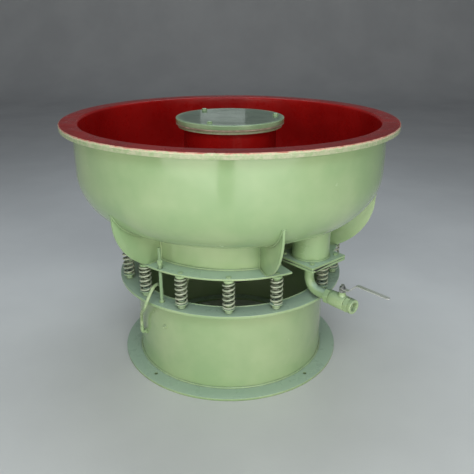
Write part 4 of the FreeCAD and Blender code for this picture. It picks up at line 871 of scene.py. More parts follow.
def hexagon(apothem, rise, bore=0.0, chamfer_low=False):
    """A hexagon with its corners turned off at the top, standing on z = 0."""
    steps = 24
    outer = []
    turned_radius = apothem * 0.95
    for step in range(steps):
        angle = 2 * math.pi * step / steps
        reach = apothem / math.cos((angle % (math.pi / 3)) - math.pi / 6)
        drop = (reach - turned_radius) * math.tan(math.radians(32))
        outer.append((angle, reach, drop))
    builder = bmesh.new()

    def ring(size):
        return [builder.verts.new((r * math.cos(a), r * math.sin(a), z)) for a, r, z in size]

    low_edge = [(a, r, drop if chamfer_low else 0.0) for a, r, drop in outer]
    rings = [ring([(a, turned_radius, 0.0) for a, _, _ in outer])] if chamfer_low else []
    rings.append(ring(low_edge))
    rings.append(ring([(a, r, rise - drop) for a, r, drop in outer]))
    rings.append(ring([(a, turned_radius, rise) for a, _, _ in outer]))
    if bore:
        rings.append(ring([(a, bore, rise) for a, _, _ in outer]))
        rings.append(ring([(a, bore, 0.0) for a, _, _ in outer]))
        rings.append(rings[0])
    bridge(builder, rings)
    if not bore:
        cap_ends(builder, rings)
    return to_mesh(builder, "hexagon")





def threaded(radius, low, high, pitch=0.00175, segments=16):
    """A screw thread as fine ridges, with chamfered ends."""
    depth = pitch * 0.45
    outline = [(0.0, low), (radius - depth, low)]
    turns = int((high - low) / pitch) - 1
    for turn in range(turns):
        base = low + pitch * (turn + 0.5)
        outline += [(radius - depth, base), (radius, base + pitch * 0.45), (radius, base + pitch * 0.6)]
    outline += [(radius - depth, high - pitch * 0.3), (radius - depth * 2, high), (0.0, high)]
    return lathe(outline, segments)


def upside_down(mesh):
    """A copy turned over about X."""
    return moved(mesh, Matrix.Rotation(math.pi, 4, "X"))


def lifted(mesh, height):
    """A copy raised by this height."""
    return moved(mesh, Matrix.Translation((0, 0, height)))


def spun(mesh, angle):
    """A copy turned about Z by this many degrees."""
    return moved(mesh, Matrix.Rotation(math.radians(angle), 4, "Z"))


# ---------------------------------------------------------------- base

def standing(mesh, radius, bearing, height=0.0):
    """A small piece made about Z, stood at a bearing."""
    return moved(mesh, at_bearing(radius, bearing, height))


def make_base(paint):
    """The drum between its floor flange and its top ring, with their welds."""
    plate = lathe(rounded([(BASE_INNER, 0.0), (BASE_RADIUS, 0.0, 0.0012), (BASE_RADIUS, BASE_PLATE, 0.0016),
                           (BASE_MIDDLE, BASE_PLATE), (DRUM_RADIUS, BASE_PLATE),
                           (BASE_INNER, BASE_PLATE, 0.0012)]), 256)
    anchors = [ANCHOR_BEARING + 90 * quarter for quarter in range(4)]
    holes = drills(ANCHOR_HOLE, ANCHOR_CIRCLE, anchors, -OVERCUT, BASE_PLATE + 2 * OVERCUT)
    finished("base_plate", carved(plate, holes), paint["plate"], "base", ["base_floor_flange"])
    steps = [(DRUM_RADIUS, BASE_PLATE + (RING_LOW - BASE_PLATE) * index / 10) for index in range(11)]
    back = [(DRUM_INNER, height) for _, height in reversed(steps)]
    wall = lathe(steps + back, 256, wobble=0.0007)
    finished("base_drum_wall", wall, paint["sheet"], "base", ["base_drum"])
    ring = lathe(rounded([(DRUM_INNER, RING_LOW), (BASE_RADIUS, RING_LOW, 0.0010),
                          (BASE_RADIUS, RING_TOP, 0.0015), (BASE_MIDDLE, RING_TOP),
                          (DRUM_INNER, RING_TOP, 0.0012)]), 256)
    finished("base_ring", ring, paint["plate"], "base", ["base_top_ring"])
    seams = [
        weld(ring_line(DRUM_RADIUS + 0.001, BASE_PLATE + 0.001), 0.0042, closed=True, seed=1),
        weld(ring_line(DRUM_RADIUS + 0.001, RING_LOW - 0.001), 0.0036, closed=True, seed=2),
        weld(ring_line(DRUM_INNER, RING_TOP), 0.0022, closed=True, seed=3),
    ]
    weld_piece("base_welds", seams, paint["weld"], "base")


def make_spring_posts(paint):
    """Ridged posts with a washer on top, one under each spring."""
    outline = [(0.0, RING_TOP)]
    for ridge in range(3):
        base = RING_TOP + 0.0003 + ridge * POST_RISE / 3
        outline += arc((POST_RADIUS - POST_RIDGE, base + POST_RIDGE), POST_RIDGE, -70, 70, 6)
    washer_low = RING_TOP + POST_RISE
    washer_top = washer_low + WASHER_PLATE
    spigot_top = washer_low + SPIGOT_RISE
    outline += rounded([(POST_RADIUS - 0.002, washer_low), (WASHER_RADIUS, washer_low, 0.0007),
                        (WASHER_RADIUS, washer_top, 0.0009)])
    outline += [(SPIGOT_RADIUS, washer_top), (SPIGOT_RADIUS - 0.0003, spigot_top - 0.0005),
                (SPIGOT_RADIUS - 0.0013, spigot_top), (0.0, spigot_top)]
    one = lathe(outline, 40)
    posts = [standing(one, SPRING_CIRCLE, bearing) for bearing in SPRING_BEARINGS]
    finished("spring_posts", joined("posts", posts), paint["post"], "base", ["lower_spring_seats"])


def spring_line(low, high):
    """A coil with a closed turn at each end."""
    steps = 190
    flat = 0.55
    rest_rise = 0.0036
    points = []
    for index in range(steps + 1):
        turn = COIL_TURNS * index / steps
        active = min(max(turn - flat, 0.0), COIL_TURNS - 2 * flat) / (COIL_TURNS - 2 * flat)
        ends = min(turn, flat) / flat + max(turn - COIL_TURNS + flat, 0.0) / flat
        height = low + rest_rise * ends / 2 + (high - low - rest_rise) * active
        angle = 2 * math.pi * turn
        points.append(Vector((COIL_RADIUS * math.cos(angle), COIL_RADIUS * math.sin(angle), height)))
    return points


def make_springs(paint):
    """Fifteen springs between the base and the bowl."""
    foot = RING_TOP + POST_RISE + WASHER_PLATE
    head = FLANGE_LOW - UPPER_SEAT_RISE
    one = tube(spring_line(foot + WIRE_RADIUS, head - WIRE_RADIUS), WIRE_RADIUS, sides=10)
    coils = []
    for index, bearing in enumerate(SPRING_BEARINGS):
        coils.append(standing(spun(one, 47.0 * index + 15.0), SPRING_CIRCLE, bearing))
    springs = finished("coil_springs", joined("coils", coils), paint["spring"], None, ["support_springs"],
                       sharp=60)
    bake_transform(springs)


def make_limit_studs(paint):
    """Threaded studs through the base ring, with stop nuts over the spring flange."""
    low = RING_LOW - NUT_RISE
    rod = threaded(BOLT_RADIUS, low, STUD_TOP)
    hex_nut = hexagon(BOLT_APOTHEM, NUT_RISE, BOLT_RADIUS - 0.0006, chamfer_low=True)
    parts = [rod]
    for turn, height in ((5, low), (20, RING_TOP), (11, STOP_HEIGHT), (37, STOP_HEIGHT + NUT_RISE)):
        parts.append(lifted(spun(hex_nut, turn), height))
    one = joined("stud", parts)
    studs = [standing(one, STUD_CIRCLE, bearing) for bearing in STUD_BEARINGS]
    finished("stop_studs", joined("studs", studs), paint["fastener"], "base", ["limit_studs"])


def make_earth_bolt(paint):
    """The earthing bolt on the drum: washer, nut and the screw's end, lying outwards."""
    washer = lathe(rounded([(0.004, 0.0), (0.0080, 0.0), (0.0080, 0.0014, 0.0004), (0.004, 0.0014)]), 32)
    nut = lifted(hexagon(EARTH_APOTHEM, 0.0044, 0.0035), 0.0014)
    screw = threaded(0.0038, -0.0120, 0.0115, pitch=0.0012)
    head = lifted(upside_down(hexagon(EARTH_APOTHEM, 0.0048)), DRUM_INNER - DRUM_RADIUS - 0.0002)
    outwards = at_bearing(DRUM_RADIUS, EARTH_BEARING, EARTH_HEIGHT) @ LYING
    mesh = moved(joined("earth", [washer, nut, screw, head]), outwards)
    finished("earthing_bolt", mesh, paint["fastener"], "base", ["earth_bolt"])


# ---------------------------------------------------------------- bowl

def drain_drill(radius):
    """A cutting tool down the drain's axis, through the bowl's bottom."""
    place = DRAIN_PLACE.translation
    return cylinder(radius, BOWL_BOTTOM - 0.03, 0.09, (place.x, place.y), sides=72)


def trough_outline(thickness, top_out, top_in):
    """One face of the trough's wall, this far inside the shell's outer face, from outside to inside."""
    radius = BOWL_CURVE - thickness
    wall = BOWL_RADIUS - thickness
    points = [(wall, top_out + (CURVE_HEIGHT - top_out) * index / 8) for index in range(8)]
    points += arc((OUTER_CURVE, CURVE_HEIGHT), radius, 0, -90, 26)
    points += arc((INNER_CURVE, CURVE_HEIGHT), radius, -90, -180, 26)
    column = INNER_CURVE - radius
    points += [(column, CURVE_HEIGHT + (top_in - CURVE_HEIGHT) * index / 6) for index in range(1, 7)]
    return points


def make_bowl(paint):
    """The steel shell and the cast liner in it, both open at the drain."""
    outside = trough_outline(0.0, RIM_LOW, HEAD_RING_LOW)
    inside = trough_outline(SHELL_WALL, RIM_LOW, HEAD_RING_LOW)
    shell = carved(lathe(outside + inside[::-1], 256, wobble=0.0009), [drain_drill(SHELL_DRAIN)])
    finished("bowl_wall", shell, paint["sheet"], "bowl", ["bowl_shell"])
    face = trough_outline(SHELL_WALL + LINER_WALL, RIM_TOP - LIP_ROUND, HEAD_RING_LOW)
    back = trough_outline(SHELL_WALL + 0.0004, RIM_TOP - LIP - 0.0002, HEAD_RING_LOW)
    wall = BOWL_RADIUS - SHELL_WALL - LINER_WALL
    lip = [(RIM_RADIUS, RIM_TOP - LIP)]
    lip += arc((RIM_RADIUS - LIP_EDGE, RIM_TOP - LIP_EDGE), LIP_EDGE, 0, 90, 4)
    lip += arc((wall + LIP_ROUND, RIM_TOP - LIP_ROUND), LIP_ROUND, 90, 180, 6)
    outline = lip + face[1:] + back[::-1]
    liner = carved(lathe(outline, 256), [drain_drill(LINER_DRAIN)])
    finished("bowl_lining", liner, paint["liner"], "bowl", ["bowl_liner"])


def make_rim(paint):
    """The rim plate under the liner's lip and the weld beneath it."""
    inner = BOWL_RADIUS - SHELL_WALL
    top = RIM_TOP - LIP
    outline = rounded([(inner, RIM_LOW), (RIM_RADIUS, RIM_LOW, 0.0014), (RIM_RADIUS, top, 0.0008),
                       (inner, top)])
    finished("rim_plate", lathe(outline, 288), paint["rim"], "bowl", ["rim_flange"])
    seam = weld(ring_line(BOWL_RADIUS + 0.001, RIM_LOW - 0.001), 0.0036, closed=True, seed=11)
    weld_piece("rim_weld", [seam], paint["weld"], "bowl")


def make_column_head(paint):
    """The ring on the column, its gasket, the cover and the cover's three bolts."""
    ring = lathe(rounded([(COLUMN_BORE, HEAD_RING_LOW), (HEAD_RING_RADIUS, HEAD_RING_LOW, 0.001),
                          (HEAD_RING_RADIUS, COLUMN_TOP, 0.001), (COLUMN_BORE, COLUMN_TOP)]), 160)
    finished("head_ring", ring, paint["rim"], "bowl", ["column_head_ring"])
    edge = COVER_RADIUS - 0.0006
    soft = lathe(rounded([(COVER_SEAT, COLUMN_TOP), (edge, COLUMN_TOP, 0.0016), (edge, GASKET_TOP, 0.0016),
                          (COVER_SEAT, GASKET_TOP)]), 160)
    finished("soft_gasket", soft, paint["gasket"], "bowl", ["cover_gasket"])
    hollow = GASKET_TOP + COVER_HOLLOW
    disc = lathe(rounded([(0.0, hollow), (COVER_SEAT, hollow), (COVER_SEAT, GASKET_TOP),
                          (COVER_RADIUS, GASKET_TOP, 0.0012), (COVER_RADIUS, COVER_TOP, 0.0034),
                          (0.186, COVER_TOP), (0.150, COVER_TOP - 0.0006), (0.09, COVER_TOP - 0.0012),
                          (0.0, COVER_TOP - 0.0014)], 5), 192)
    finished("cover_disc", disc, paint["cover"], "bowl", ["column_cover"], sharp=40)
    washer = lathe(rounded([(0.0, 0.0), (0.0115, 0.0), (0.0115, 0.0012, 0.0004), (0.0, 0.0012)]), 32)
    head = joined("head", [washer, lifted(hexagon(BOLT_APOTHEM, HEAD_RISE - 0.0012), 0.0012)])
    heads = []
    for index, bearing in enumerate(COVER_BOLT_BEARINGS):
        heads.append(standing(spun(head, 23 * index), COVER_BOLT_CIRCLE, bearing, COVER_TOP - 0.0004))
    finished("cover_bolt_heads", joined("heads", heads), paint["fastener"], "bowl", ["cover_bolts"])


def make_skirt(paint):
    """The skirt under the bowl and its spring flange, both open at the drain, with their welds."""
    steps = [(SKIRT_RADIUS, FLANGE_TOP + (BOWL_BOTTOM - FLANGE_TOP) * index / 5) for index in range(6)]
    back = [(SKIRT_INNER, height) for _, height in reversed(steps)]
    sweep = 360.0 - (SKIRT_OPEN[1] - SKIRT_OPEN[0])
    skirt = lathe(steps + back, 240, SKIRT_OPEN[1], sweep, wobble=0.0006)
    finished("skirt_wall", skirt, paint["sheet"], "bowl", ["bowl_skirt"])
    outline = rounded([(SKIRT_INNER, FLANGE_LOW), (FLANGE_RADIUS, FLANGE_LOW, 0.0009),
                       (FLANGE_RADIUS, FLANGE_TOP, 0.0013), (SKIRT_RADIUS, FLANGE_TOP),
                       (SKIRT_INNER, FLANGE_TOP, 0.001)])
    flange = lathe(outline, 288, FLANGE_OPEN[1], 360.0 - (FLANGE_OPEN[1] - FLANGE_OPEN[0]))
    holes = drills(STUD_HOLE, STUD_CIRCLE, STUD_BEARINGS, FLANGE_LOW - OVERCUT, 0.03)
    finished("spring_flange_plate", carved(flange, holes), paint["plate"], "bowl", ["spring_flange"])
    low_line = ring_line(SKIRT_RADIUS + 0.001, FLANGE_TOP + 0.001, SKIRT_OPEN[1], sweep)
    high_line = ring_line(SKIRT_RADIUS + 0.001, BOWL_BOTTOM - 0.001, SKIRT_OPEN[1], sweep)
    seams = [weld(low_line, 0.0044, seed=21), weld(high_line, 0.0040, seed=22)]
    weld_piece("skirt_welds", seams, paint["weld"], "bowl")


def make_upper_seats(paint):
    """Discs under the spring flange and the bolt heads over it."""
    face = FLANGE_LOW - UPPER_SEAT_RISE
    tip = face - UPPER_SPIGOT_RISE
    disc = lathe(rounded([(0.0, FLANGE_LOW), (UPPER_SEAT_RADIUS, FLANGE_LOW, 0.0008),
                          (UPPER_SEAT_RADIUS, face, 0.0012), (SPIGOT_RADIUS, face),
                          (SPIGOT_RADIUS - 0.0003, tip, 0.0008), (0.0, tip)]), 40)
    discs = [standing(disc, SPRING_CIRCLE, bearing) for bearing in SPRING_BEARINGS]
    finished("upper_discs", joined("discs", discs), paint["fastener"], "bowl", ["upper_spring_seats"])
    head = hexagon(BOLT_APOTHEM, THIN_HEAD_RISE)
    heads = []
    for index, bearing in enumerate(SPRING_BEARINGS):
        heads.append(standing(spun(head, 17 * index), SPRING_CIRCLE, bearing, FLANGE_TOP))
    finished("upper_bolt_heads", joined("bolt_heads", heads), paint["fastener"], "bowl",
             ["upper_seat_bolts"])


def bowl_underside(radius):
    """Height of the bowl's outer face at a radius from the axis."""
    reach = 0.0
    if radius > OUTER_CURVE:
        reach = min(radius - OUTER_CURVE, BOWL_CURVE)
    if radius < INNER_CURVE:
        reach = INNER_CURVE - radius
    return CURVE_HEIGHT - math.sqrt(BOWL_CURVE ** 2 - reach ** 2)


def fin_reach_angle():
    """How far up the bowl's curve the fins reach, in degrees below level."""
    return math.degrees(math.acos((FIN_REACH - OUTER_CURVE) / BOWL_CURVE))


def fin_outline():
    """The fin's outline: (distance from the axis, height)."""
    toe = (FLANGE_RADIUS - FIN_TOE, FLANGE_TOP + FIN_TOE)
    outline = [(SKIRT_RADIUS + 0.0003, FLANGE_TOP + 0.0003)]
    outline += arc_between(toe, (FIN_REACH, FIN_SHOULDER), FIN_EDGE_CURVE, 24)
    outline += arc((OUTER_CURVE, CURVE_HEIGHT), BOWL_CURVE + 0.0003, -fin_reach_angle(), -90, 22)
    outline.append((SKIRT_RADIUS + 0.0003, BOWL_BOTTOM - 0.0003))
    return outline


def fin_beads():
    """The fin's welds on both sides: along the bowl, on the flange and up the skirt."""
    curve = arc((OUTER_CURVE, CURVE_HEIGHT), BOWL_CURVE + 0.0012, -fin_reach_angle() - 1.0, -90, 110)
    curve.append((SKIRT_RADIUS + 0.004, BOWL_BOTTOM - 0.0012))
    beads = []
    for side in (-1, 1):
        across = side * (FIN_THICKNESS / 2 + 0.0008)
        upper = [Vector((x, across, z)) for x, z in curve]
        lower = between(Vector((SKIRT_RADIUS, across, FLANGE_TOP + 0.001)),
                        Vector((FLANGE_RADIUS - 0.008, across, FLANGE_TOP + 0.001)))
        upright = between(Vector((SKIRT_RADIUS + 0.001, across, FLANGE_TOP + 0.002)),
                          Vector((SKIRT_RADIUS + 0.001, across, BOWL_BOTTOM - 0.002)))
        beads.append(weld(upper, 0.0034, seed=30 + side))
        beads.append(weld(lower, 0.0030, seed=34 + side))
        beads.append(weld(upright, 0.0030, seed=38 + side))
    return joined("fin_beads", beads)


def make_fins(paint):
    """Six curved fins between the spring flange and the bowl, welded on both sides."""
    plate = slab(fin_outline(), -FIN_THICKNESS / 2, FIN_THICKNESS, 0.0011)
    plate.transform(Matrix.Rotation(math.radians(90), 4, "X"))
    seam = fin_beads()
    for number, bearing in enumerate(FIN_BEARINGS, start=1):
        place = at_bearing(0.0, bearing)
        finished("fin_%d" % number, moved(plate, place), paint["sheet"], "bowl", ["gusset_fin_%d" % number])
        weld_piece("fin_%d_welds" % number, [moved(seam, place)], paint["weld"], "bowl")


# ---------------------------------------------------------------- drain

def sump_top(angle, radius, rise):
    """A point on the sump's wall where it meets the bowl."""
    place = OUTLET_PLACE @ Vector((radius * math.cos(angle), radius * math.sin(angle), 0.0))
    place.z = bowl_underside(math.hypot(place.x, place.y)) + rise
    return place


def sump_wall():
    """The sump's tube, cut to the bowl's underside at the top."""
    builder = bmesh.new()
    rings = []
    sides = 96
    for radius, top in ((SUMP_RADIUS, True), (SUMP_RADIUS, False), (SUMP_BORE, False), (SUMP_BORE, True)):
        ring = []
        for step in range(sides):
            point = sump_top(2 * math.pi * step / sides, radius, 0.004)
            if not top:
                point.z = SUMP_FLANGE[0] + 0.0002
            ring.append(builder.verts.new(point))
        rings.append(ring)
    bridge(builder, rings, closed=True)
    return to_mesh(builder, "sump_wall")


def make_sump(paint):
    """The sump tube, its square flange, the plate below it and their welds."""
    side = SUMP_HALF_SIDE
    corners = rounded([(-side, -side, 0.003), (side, -side, 0.003), (side, side, 0.003),
                       (-side, side, 0.003)])
    flange = slab(corners, SUMP_FLANGE[0], SUMP_FLANGE[1] - SUMP_FLANGE[0], 0.0012, [(0.0, 0.0, SUMP_BORE)])
    body = joined("sump", [sump_wall(), moved(flange, OUTLET_PLACE)])
    finished("sump_body", body, paint["plate"], "bowl", ["drain_sump"])
    offset = SUMP_BOLT_OFFSET
    bolt_holes = [(x, y, SUMP_BOLT_HOLE) for x in (-offset, offset) for y in (-offset, offset)]
    blank = slab(corners, SUMP_PLATE[0], SUMP_PLATE[1] - SUMP_PLATE[0], 0.0012, bolt_holes)
    finished("sump_blank", moved(blank, OUTLET_PLACE), paint["plate"], "bowl", ["sump_plate"])
    top_seam = [sump_top(angle, SUMP_RADIUS + 0.001, -0.001) for angle in ring_angles(SUMP_RADIUS)]
    foot_seam = drain_ring(SUMP_RADIUS, SUMP_FLANGE[1] + 0.001, outset=0.001)
    seams = [weld(top_seam, 0.0038, closed=True, seed=41), weld(foot_seam, 0.0034, closed=True, seed=42)]
    weld_piece("sump_welds", seams, paint["weld"], "bowl")


def make_sump_bolts(paint):
    """Four bolts at the sump plate's corners, with nuts below."""
    head = lifted(hexagon(SUMP_BOLT_APOTHEM, 0.0062), SUMP_FLANGE[1])
    nut = lifted(upside_down(hexagon(SUMP_BOLT_APOTHEM, 0.0078)), SUMP_PLATE[0])
    shank = threaded(SUMP_BOLT_RADIUS, SUMP_PLATE[0] - 0.0095, SUMP_FLANGE[1], pitch=0.0014)
    one = joined("sump_bolt", [head, nut, shank])
    bolts = []
    for index, (x, y) in enumerate(((-1, -1), (1, -1), (1, 1), (-1, 1))):
        offset = Matrix.Translation((x * SUMP_BOLT_OFFSET, y * SUMP_BOLT_OFFSET, 0.0))
        bolts.append(moved(spun(one, 13 * index), OUTLET_PLACE @ offset))
    finished("sump_bolt_set", joined("sump_bolts", bolts), paint["fastener"], "bowl", ["sump_bolts"])


def make_drain_pipe(paint):
    """The drain elbow from the sump plate to the valve, with a weld collar at its top."""
    points = [Vector((0.0, 0.0, SUMP_PLATE[0] + 0.004 - 0.006 * index)) for index in range(11)]
    centre_height = OUTLET_HEIGHT + ELBOW_RADIUS
    for index in range(1, 25):
        angle = math.radians(90 * index / 25)
        points.append(Vector((ELBOW_RADIUS * (1 - math.cos(angle)), 0.0,
                              centre_height - ELBOW_RADIUS * math.sin(angle))))
    points += [Vector((ELBOW_RADIUS + 0.0055 * index, 0.0, OUTLET_HEIGHT)) for index in range(9)]
    pipe = tube([OUTLET_PLACE @ point for point in points], PIPE_RADIUS, sides=40)
    finished("drain_pipe", pipe, paint["plate"], "bowl", ["drain_elbow"], sharp=60)
    collar = weld(drain_ring(PIPE_RADIUS, SUMP_PLATE[0] - 0.001), 0.0034, closed=True, seed=43)
    weld_piece("pipe_weld", [collar], paint["weld"], "bowl")


def along_outlet(mesh, turn=0.0):
    """A piece made about Z, laid along the outlet, its own z measured from the drain's axis."""
    lay = Matrix.Translation((0, 0, OUTLET_HEIGHT)) @ LYING
    return moved(mesh, OUTLET_PLACE @ lay @ Matrix.Rotation(math.radians(turn), 4, "Z"))


def at_stem(mesh):
    """A piece made about Z, put on the valve stem's axis."""
    return moved(mesh, OUTLET_PLACE @ Matrix.Translation((STEM_DISTANCE, 0.0, 0.0)))


def make_valve_body(paint):
    """The ball valve's casting: hexagon inlet, round barrel and stem neck."""
    inlet = lifted(hexagon(INLET_APOTHEM, INLET_RISE, PIPE_RADIUS, chamfer_low=True), VALVE_START)
    outline = [(BARREL_RADIUS - inset, BARREL_START + rise) for inset, rise in BARREL_SHOULDER]
    outline += [(BARREL_RADIUS, CAP_START - 0.0025), (BARREL_RADIUS - 0.0010, CAP_START),
                (BALL_ROOM, CAP_START), (BALL_ROOM, BALL_ROOM_START), (WATERWAY, BALL_ROOM_START - 0.001),
                (WATERWAY, BARREL_START)]
    barrel = lathe(outline, 64)
    neck = lathe([(NECK_BORE, NECK_LOW), (NECK_RADIUS + 0.0040, NECK_LOW - 0.0002),
                  (NECK_RADIUS + 0.0012, NECK_LOW + 0.0035), (NECK_RADIUS, NECK_LOW + 0.0065),
                  (NECK_RADIUS, NECK_TOP - 0.0008), (NECK_RADIUS - 0.0008, NECK_TOP),
                  (NECK_BORE, NECK_TOP)], 40)
    body = joined("valve", [along_outlet(inlet, 12), along_outlet(barrel), at_stem(neck)])
    finished("valve_casting", body, paint["cast"], "bowl", ["valve_body"], sharp=38)


def mouth_thread():
    """The outline of the mouth's threaded bore, from the mouth inwards."""
    back = MOUTH_BORE + 0.0017
    thread = [(MOUTH_BORE + 0.0006, MOUTH_END)]
    for index in range(8):
        depth = MOUTH_END - 0.0015 - MOUTH_PITCH * index
        thread += [(MOUTH_BORE, depth), (MOUTH_BORE + 0.0007, depth - MOUTH_PITCH / 2)]
    thread += [(radius, MOUTH_END - MOUTH_DEPTH) for radius in (MOUTH_BORE, WATERWAY)]
    thread += [(WATERWAY, CAP_START), (back, CAP_START), (back, MOUTH_END)]
    return thread


def make_valve_mouth(paint):
    """The valve's end cap with its threaded mouth."""
    grip = lifted(hexagon(CAP_APOTHEM, CAP_RISE, MOUTH_BORE + 0.0004, chamfer_low=True), CAP_START)
    ring = lathe([(MOUTH_BORE + 0.0002, MOUTH_RING_START), (MOUTH_RING - 0.0008, MOUTH_RING_START + 0.0003),
                  (MOUTH_RING, MOUTH_RING_START + 0.0020), (MOUTH_RING, MOUTH_END - 0.0015),
                  (MOUTH_RING - 0.0012, MOUTH_END), (MOUTH_BORE + 0.0014, MOUTH_END),
                  (MOUTH_BORE + 0.0002, MOUTH_END - 0.0008)], 56)
    bore = lathe(mouth_thread(), 48)
    mesh = joined("mouth", [along_outlet(grip, 12), along_outlet(ring), along_outlet(bore)])
    finished("valve_mouth", mesh, paint["cast"], "bowl", ["valve_end_cap"], sharp=38)


def make_valve_trim(paint):
    """The packing nut on the valve's neck, and the nut that holds the lever on its stem."""
    packing = lifted(hexagon(PACKING_APOTHEM, PACKING_RISE, NECK_BORE, chamfer_low=True), NECK_TOP + 0.0001)
    finished("packing_nut", at_stem(spun(packing, 10)), paint["steel"], "bowl", ["valve_packing_nut"])
    nut = hexagon(LEVER_NUT_APOTHEM, LEVER_NUT_RISE, LEVER_NUT_BORE, chamfer_low=True)
    finished("stem_nut", at_stem(spun(lifted(nut, LEVER_LOW + 0.0020), 25)), paint["steel"], "handle",
             ["lever_nut"])


def lever_outline():
    """The lever's centreline along the outlet: (distance from the drain's axis, height)."""
    bends = [(LEVER_START, LEVER_LOW), (LEVER_SLOPE[0], LEVER_LOW, LEVER_BEND),
             (LEVER_SLOPE[1], LEVER_HIGH, LEVER_BEND), (LEVER_END, LEVER_HIGH)]
    line = []
    for index, bend in enumerate(bends):
        here = Vector(bend[:2])
        if len(bend) == 2:
            line.append(here)
            continue
        back = (Vector(bends[index - 1][:2]) - here).normalized()
        ahead = (Vector(bends[index + 1][:2]) - here).normalized()
        for step in range(7):
            share = step / 6
            start = here + back * bend[2] * 0.6
            end = here + ahead * bend[2] * 0.6
            line.append(start * (1 - share) ** 2 + here * 2 * share * (1 - share) + end * share ** 2)
    return line


def resampled(line, gap):
    """Points on a line about a gap apart."""
    points = []
    for first, last in zip(line, line[1:]):
        count = max(1, round((last - first).length / gap))
        points += [first.lerp(last, index / count) for index in range(count)]
    return points + [line[-1]]


def lever_section(half):
    """The strip's section where it is this wide: (across, up), with its edges eased."""
    flat = half - 0.0006
    side = LEVER_HALF_PLATE - LEVER_EDGE
    face = LEVER_HALF_PLATE
    return ((-half, -side), (-flat, -face), (flat, -face), (half, -side), (half, side), (flat, face),
            (-flat, face), (-half, side))


def make_lever(paint):
    """The bent strip lever with round ends."""
    points = resampled(lever_outline(), 0.0015)
    builder = bmesh.new()
    rows = []
    for index, point in enumerate(points):
        before = points[max(index - 1, 0)]
        after = points[min(index + 1, len(points) - 1)]
        along = (after - before).normalized()
        up = Vector((-along.y, along.x))
        from_end = min(point.x - points[0].x, points[-1].x - point.x, LEVER_TIP_ROUND)
        roundness = math.sqrt(max(0.0, 1 - (1 - from_end / LEVER_TIP_ROUND) ** 2))
        row = []
        for across, lift in lever_section(LEVER_HALF_TIP + (LEVER_HALF_WIDTH - LEVER_HALF_TIP) * roundness):
            place = point + up * lift
            row.append(builder.verts.new(OUTLET_PLACE @ Vector((place.x, across, place.y))))
        rows.append(row)
    bridge(builder, rows)
    cap_ends(builder, rows)
    hole = at_stem(cylinder(LEVER_HOLE, LEVER_LOW - 0.016, 0.03))
    finished("lever_strip", carved(to_mesh(builder, "lever"), [hole]), paint["lever"], "handle",
             ["valve_lever"])


# ---------------------------------------------------------------- motor lead

def make_lead_elbow(paint):
    """The threaded elbow and lock nut where the lead goes through the drum."""
    bend = [Vector((DRUM_INNER - 0.015 + 0.004 * index, 0.0, ENTRY_HEIGHT)) for index in range(8)]
    for index in range(1, 13):
        angle = math.radians(90 * index / 12)
        bend.append(Vector((ENTRY_REACH - ENTRY_BEND + ENTRY_BEND * math.sin(angle), 0.0,
                            ENTRY_HEIGHT + ENTRY_BEND * (1 - math.cos(angle)))))
    bend += [Vector((ENTRY_REACH, 0.0, ENTRY_HEIGHT + ENTRY_BEND + 0.002 * index)) for index in range(1, 3)]
    pipe = moved(tube(bend, ENTRY_PIPE, sides=28), at_bearing(0.0, LEAD_BEARING))
    low, high = ENTRY_SOCKET
    step = low + 0.0084
    collar = ENTRY_PIPE + 0.0010
    sleeve = ENTRY_PIPE + 0.0004
    socket = lathe(rounded([(0.0, low), (collar, low, 0.0006), (collar, step, 0.0006),
                            (sleeve, step + 0.0004), (sleeve, high, 0.0008), (0.0, high)]), 32)
    lock = hexagon(0.0104, 0.006, 0.0060, chamfer_low=True)
    facing = at_bearing(DRUM_RADIUS, LEAD_BEARING, ENTRY_HEIGHT) @ LYING
    mesh = joined("entry", [pipe, standing(socket, ENTRY_REACH, LEAD_BEARING), moved(lock, facing)])
    return finished("entry_elbow", mesh, paint["cast"], "base", ["lead_entry_elbow"], sharp=40)


def lead_points():
    """The lead's line: a NURBS spline along its route, read back as close points."""
    data = bpy.data.curves.new("lead_line", "CURVE")
    data.dimensions = "3D"
    spline = data.splines.new("NURBS")
    spline.points.add(len(LEAD_ROUTE) - 1)
    for point, (radius, bearing, height) in zip(spline.points, LEAD_ROUTE):
        point.co = (*polar(radius, bearing, height), 1.0)
    spline.order_u = 3
    spline.use_endpoint_u = True
    spline.resolution_u = 12
    line = bpy.data.objects.new("lead_line", data)
    bpy.context.scene.collection.objects.link(line)
    bpy.context.view_layer.update()
    mesh = bpy.data.meshes.new_from_object(line)
    points = [vertex.co.copy() for vertex in mesh.vertices]
    bpy.data.objects.remove(line)
    bpy.data.meshes.remove(mesh)
    return points


def make_lead(paint, elbow):
    """The motor lead between the base and the bowl."""
    points = lead_points()
    mesh = tube(points, LEAD_RADIUS, sides=20)
    lead = finished("lead_cable", mesh, paint["lead"], None, ["motor_lead"], sharp=60)
    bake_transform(lead)


# ---------------------------------------------------------------- carried-over CAD pieces

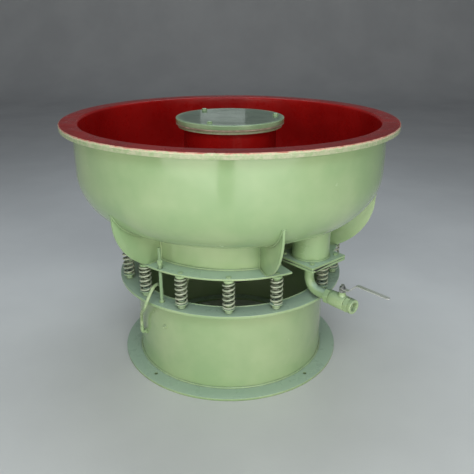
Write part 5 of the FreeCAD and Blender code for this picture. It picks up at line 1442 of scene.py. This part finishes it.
CAD_FINISHES = {
    "plate": ("motor_seat_plate",),
    "fastener": ("lower_seat_bolts", "motor_mount_bolts"),
    "motor": ("motor_housing", "motor_end_bells", "terminal_box", "terminal_box_lid", "junction_box",
              "junction_box_lid"),
    "steel": ("motor_shaft", "bearing_inner_rings", "bearing_outer_rings", "upper_clamp_bolt",
              "lower_clamp_bolt", "motor_lead_gland", "valve_stem"),
    "forged": ("upper_weight", "lower_weight", "stator_core", "rotor_core"),
    "copper": ("stator_windings",),
    "stainless": ("valve_ball", "drain_strainer"),
    "plastic": ("valve_seats",),
    "seal": ("sump_gasket",),
}


def dress_cad_pieces(paint):
    """Give each CAD node its material. The nodes that a visual piece replaces all get the plates' paint."""
    chosen = {name: finish for finish, names in CAD_FINISHES.items() for name in names}
    for name, piece in nodes.items():
        piece.data.materials.clear()
        piece.data.materials.append(paint[chosen.get(name, "plate")])


def make_floor(paint):
    """A pale floor that curves up into a wall behind."""
    profile = [(-FLOOR_HALF, 0.0), (0.0, 0.0), (WALL_FOOT, 0.0)]
    profile += arc((WALL_FOOT, WALL_CURVE), WALL_CURVE, -80, 0, 8)
    profile.append((WALL_FOOT + WALL_CURVE, WALL_TOP))
    builder = bmesh.new()
    rows = [[builder.verts.new((x, y, height)) for x in (-FLOOR_HALF, FLOOR_HALF)] for y, height in profile]
    for here, ahead in zip(rows, rows[1:]):
        builder.faces.new((here[0], here[1], ahead[1], ahead[0]))
    mesh = bpy.data.meshes.new("floor")
    builder.to_mesh(mesh)
    builder.free()
    mesh.polygons.foreach_set("use_smooth", [True] * len(mesh.polygons))
    mesh.materials.append(paint["floor"])
    floor = bpy.data.objects.new("studio_floor", mesh)
    bpy.context.scene.collection.objects.link(floor)


# ---------------------------------------------------------------- assembly

def make_everything():
    """The studio, the CAD pieces that stay and the visual pieces."""
    paint = make_materials()
    make_camera()
    make_lights()
    make_floor(paint)
    dress_cad_pieces(paint)
    make_base(paint)
    make_spring_posts(paint)
    make_springs(paint)
    make_limit_studs(paint)
    make_earth_bolt(paint)
    make_bowl(paint)
    make_rim(paint)
    make_column_head(paint)
    make_skirt(paint)
    make_upper_seats(paint)
    make_fins(paint)
    make_sump(paint)
    make_sump_bolts(paint)
    make_drain_pipe(paint)
    make_valve_body(paint)
    make_valve_mouth(paint)
    make_valve_trim(paint)
    make_lever(paint)
    make_lead(paint, make_lead_elbow(paint))


make_everything()
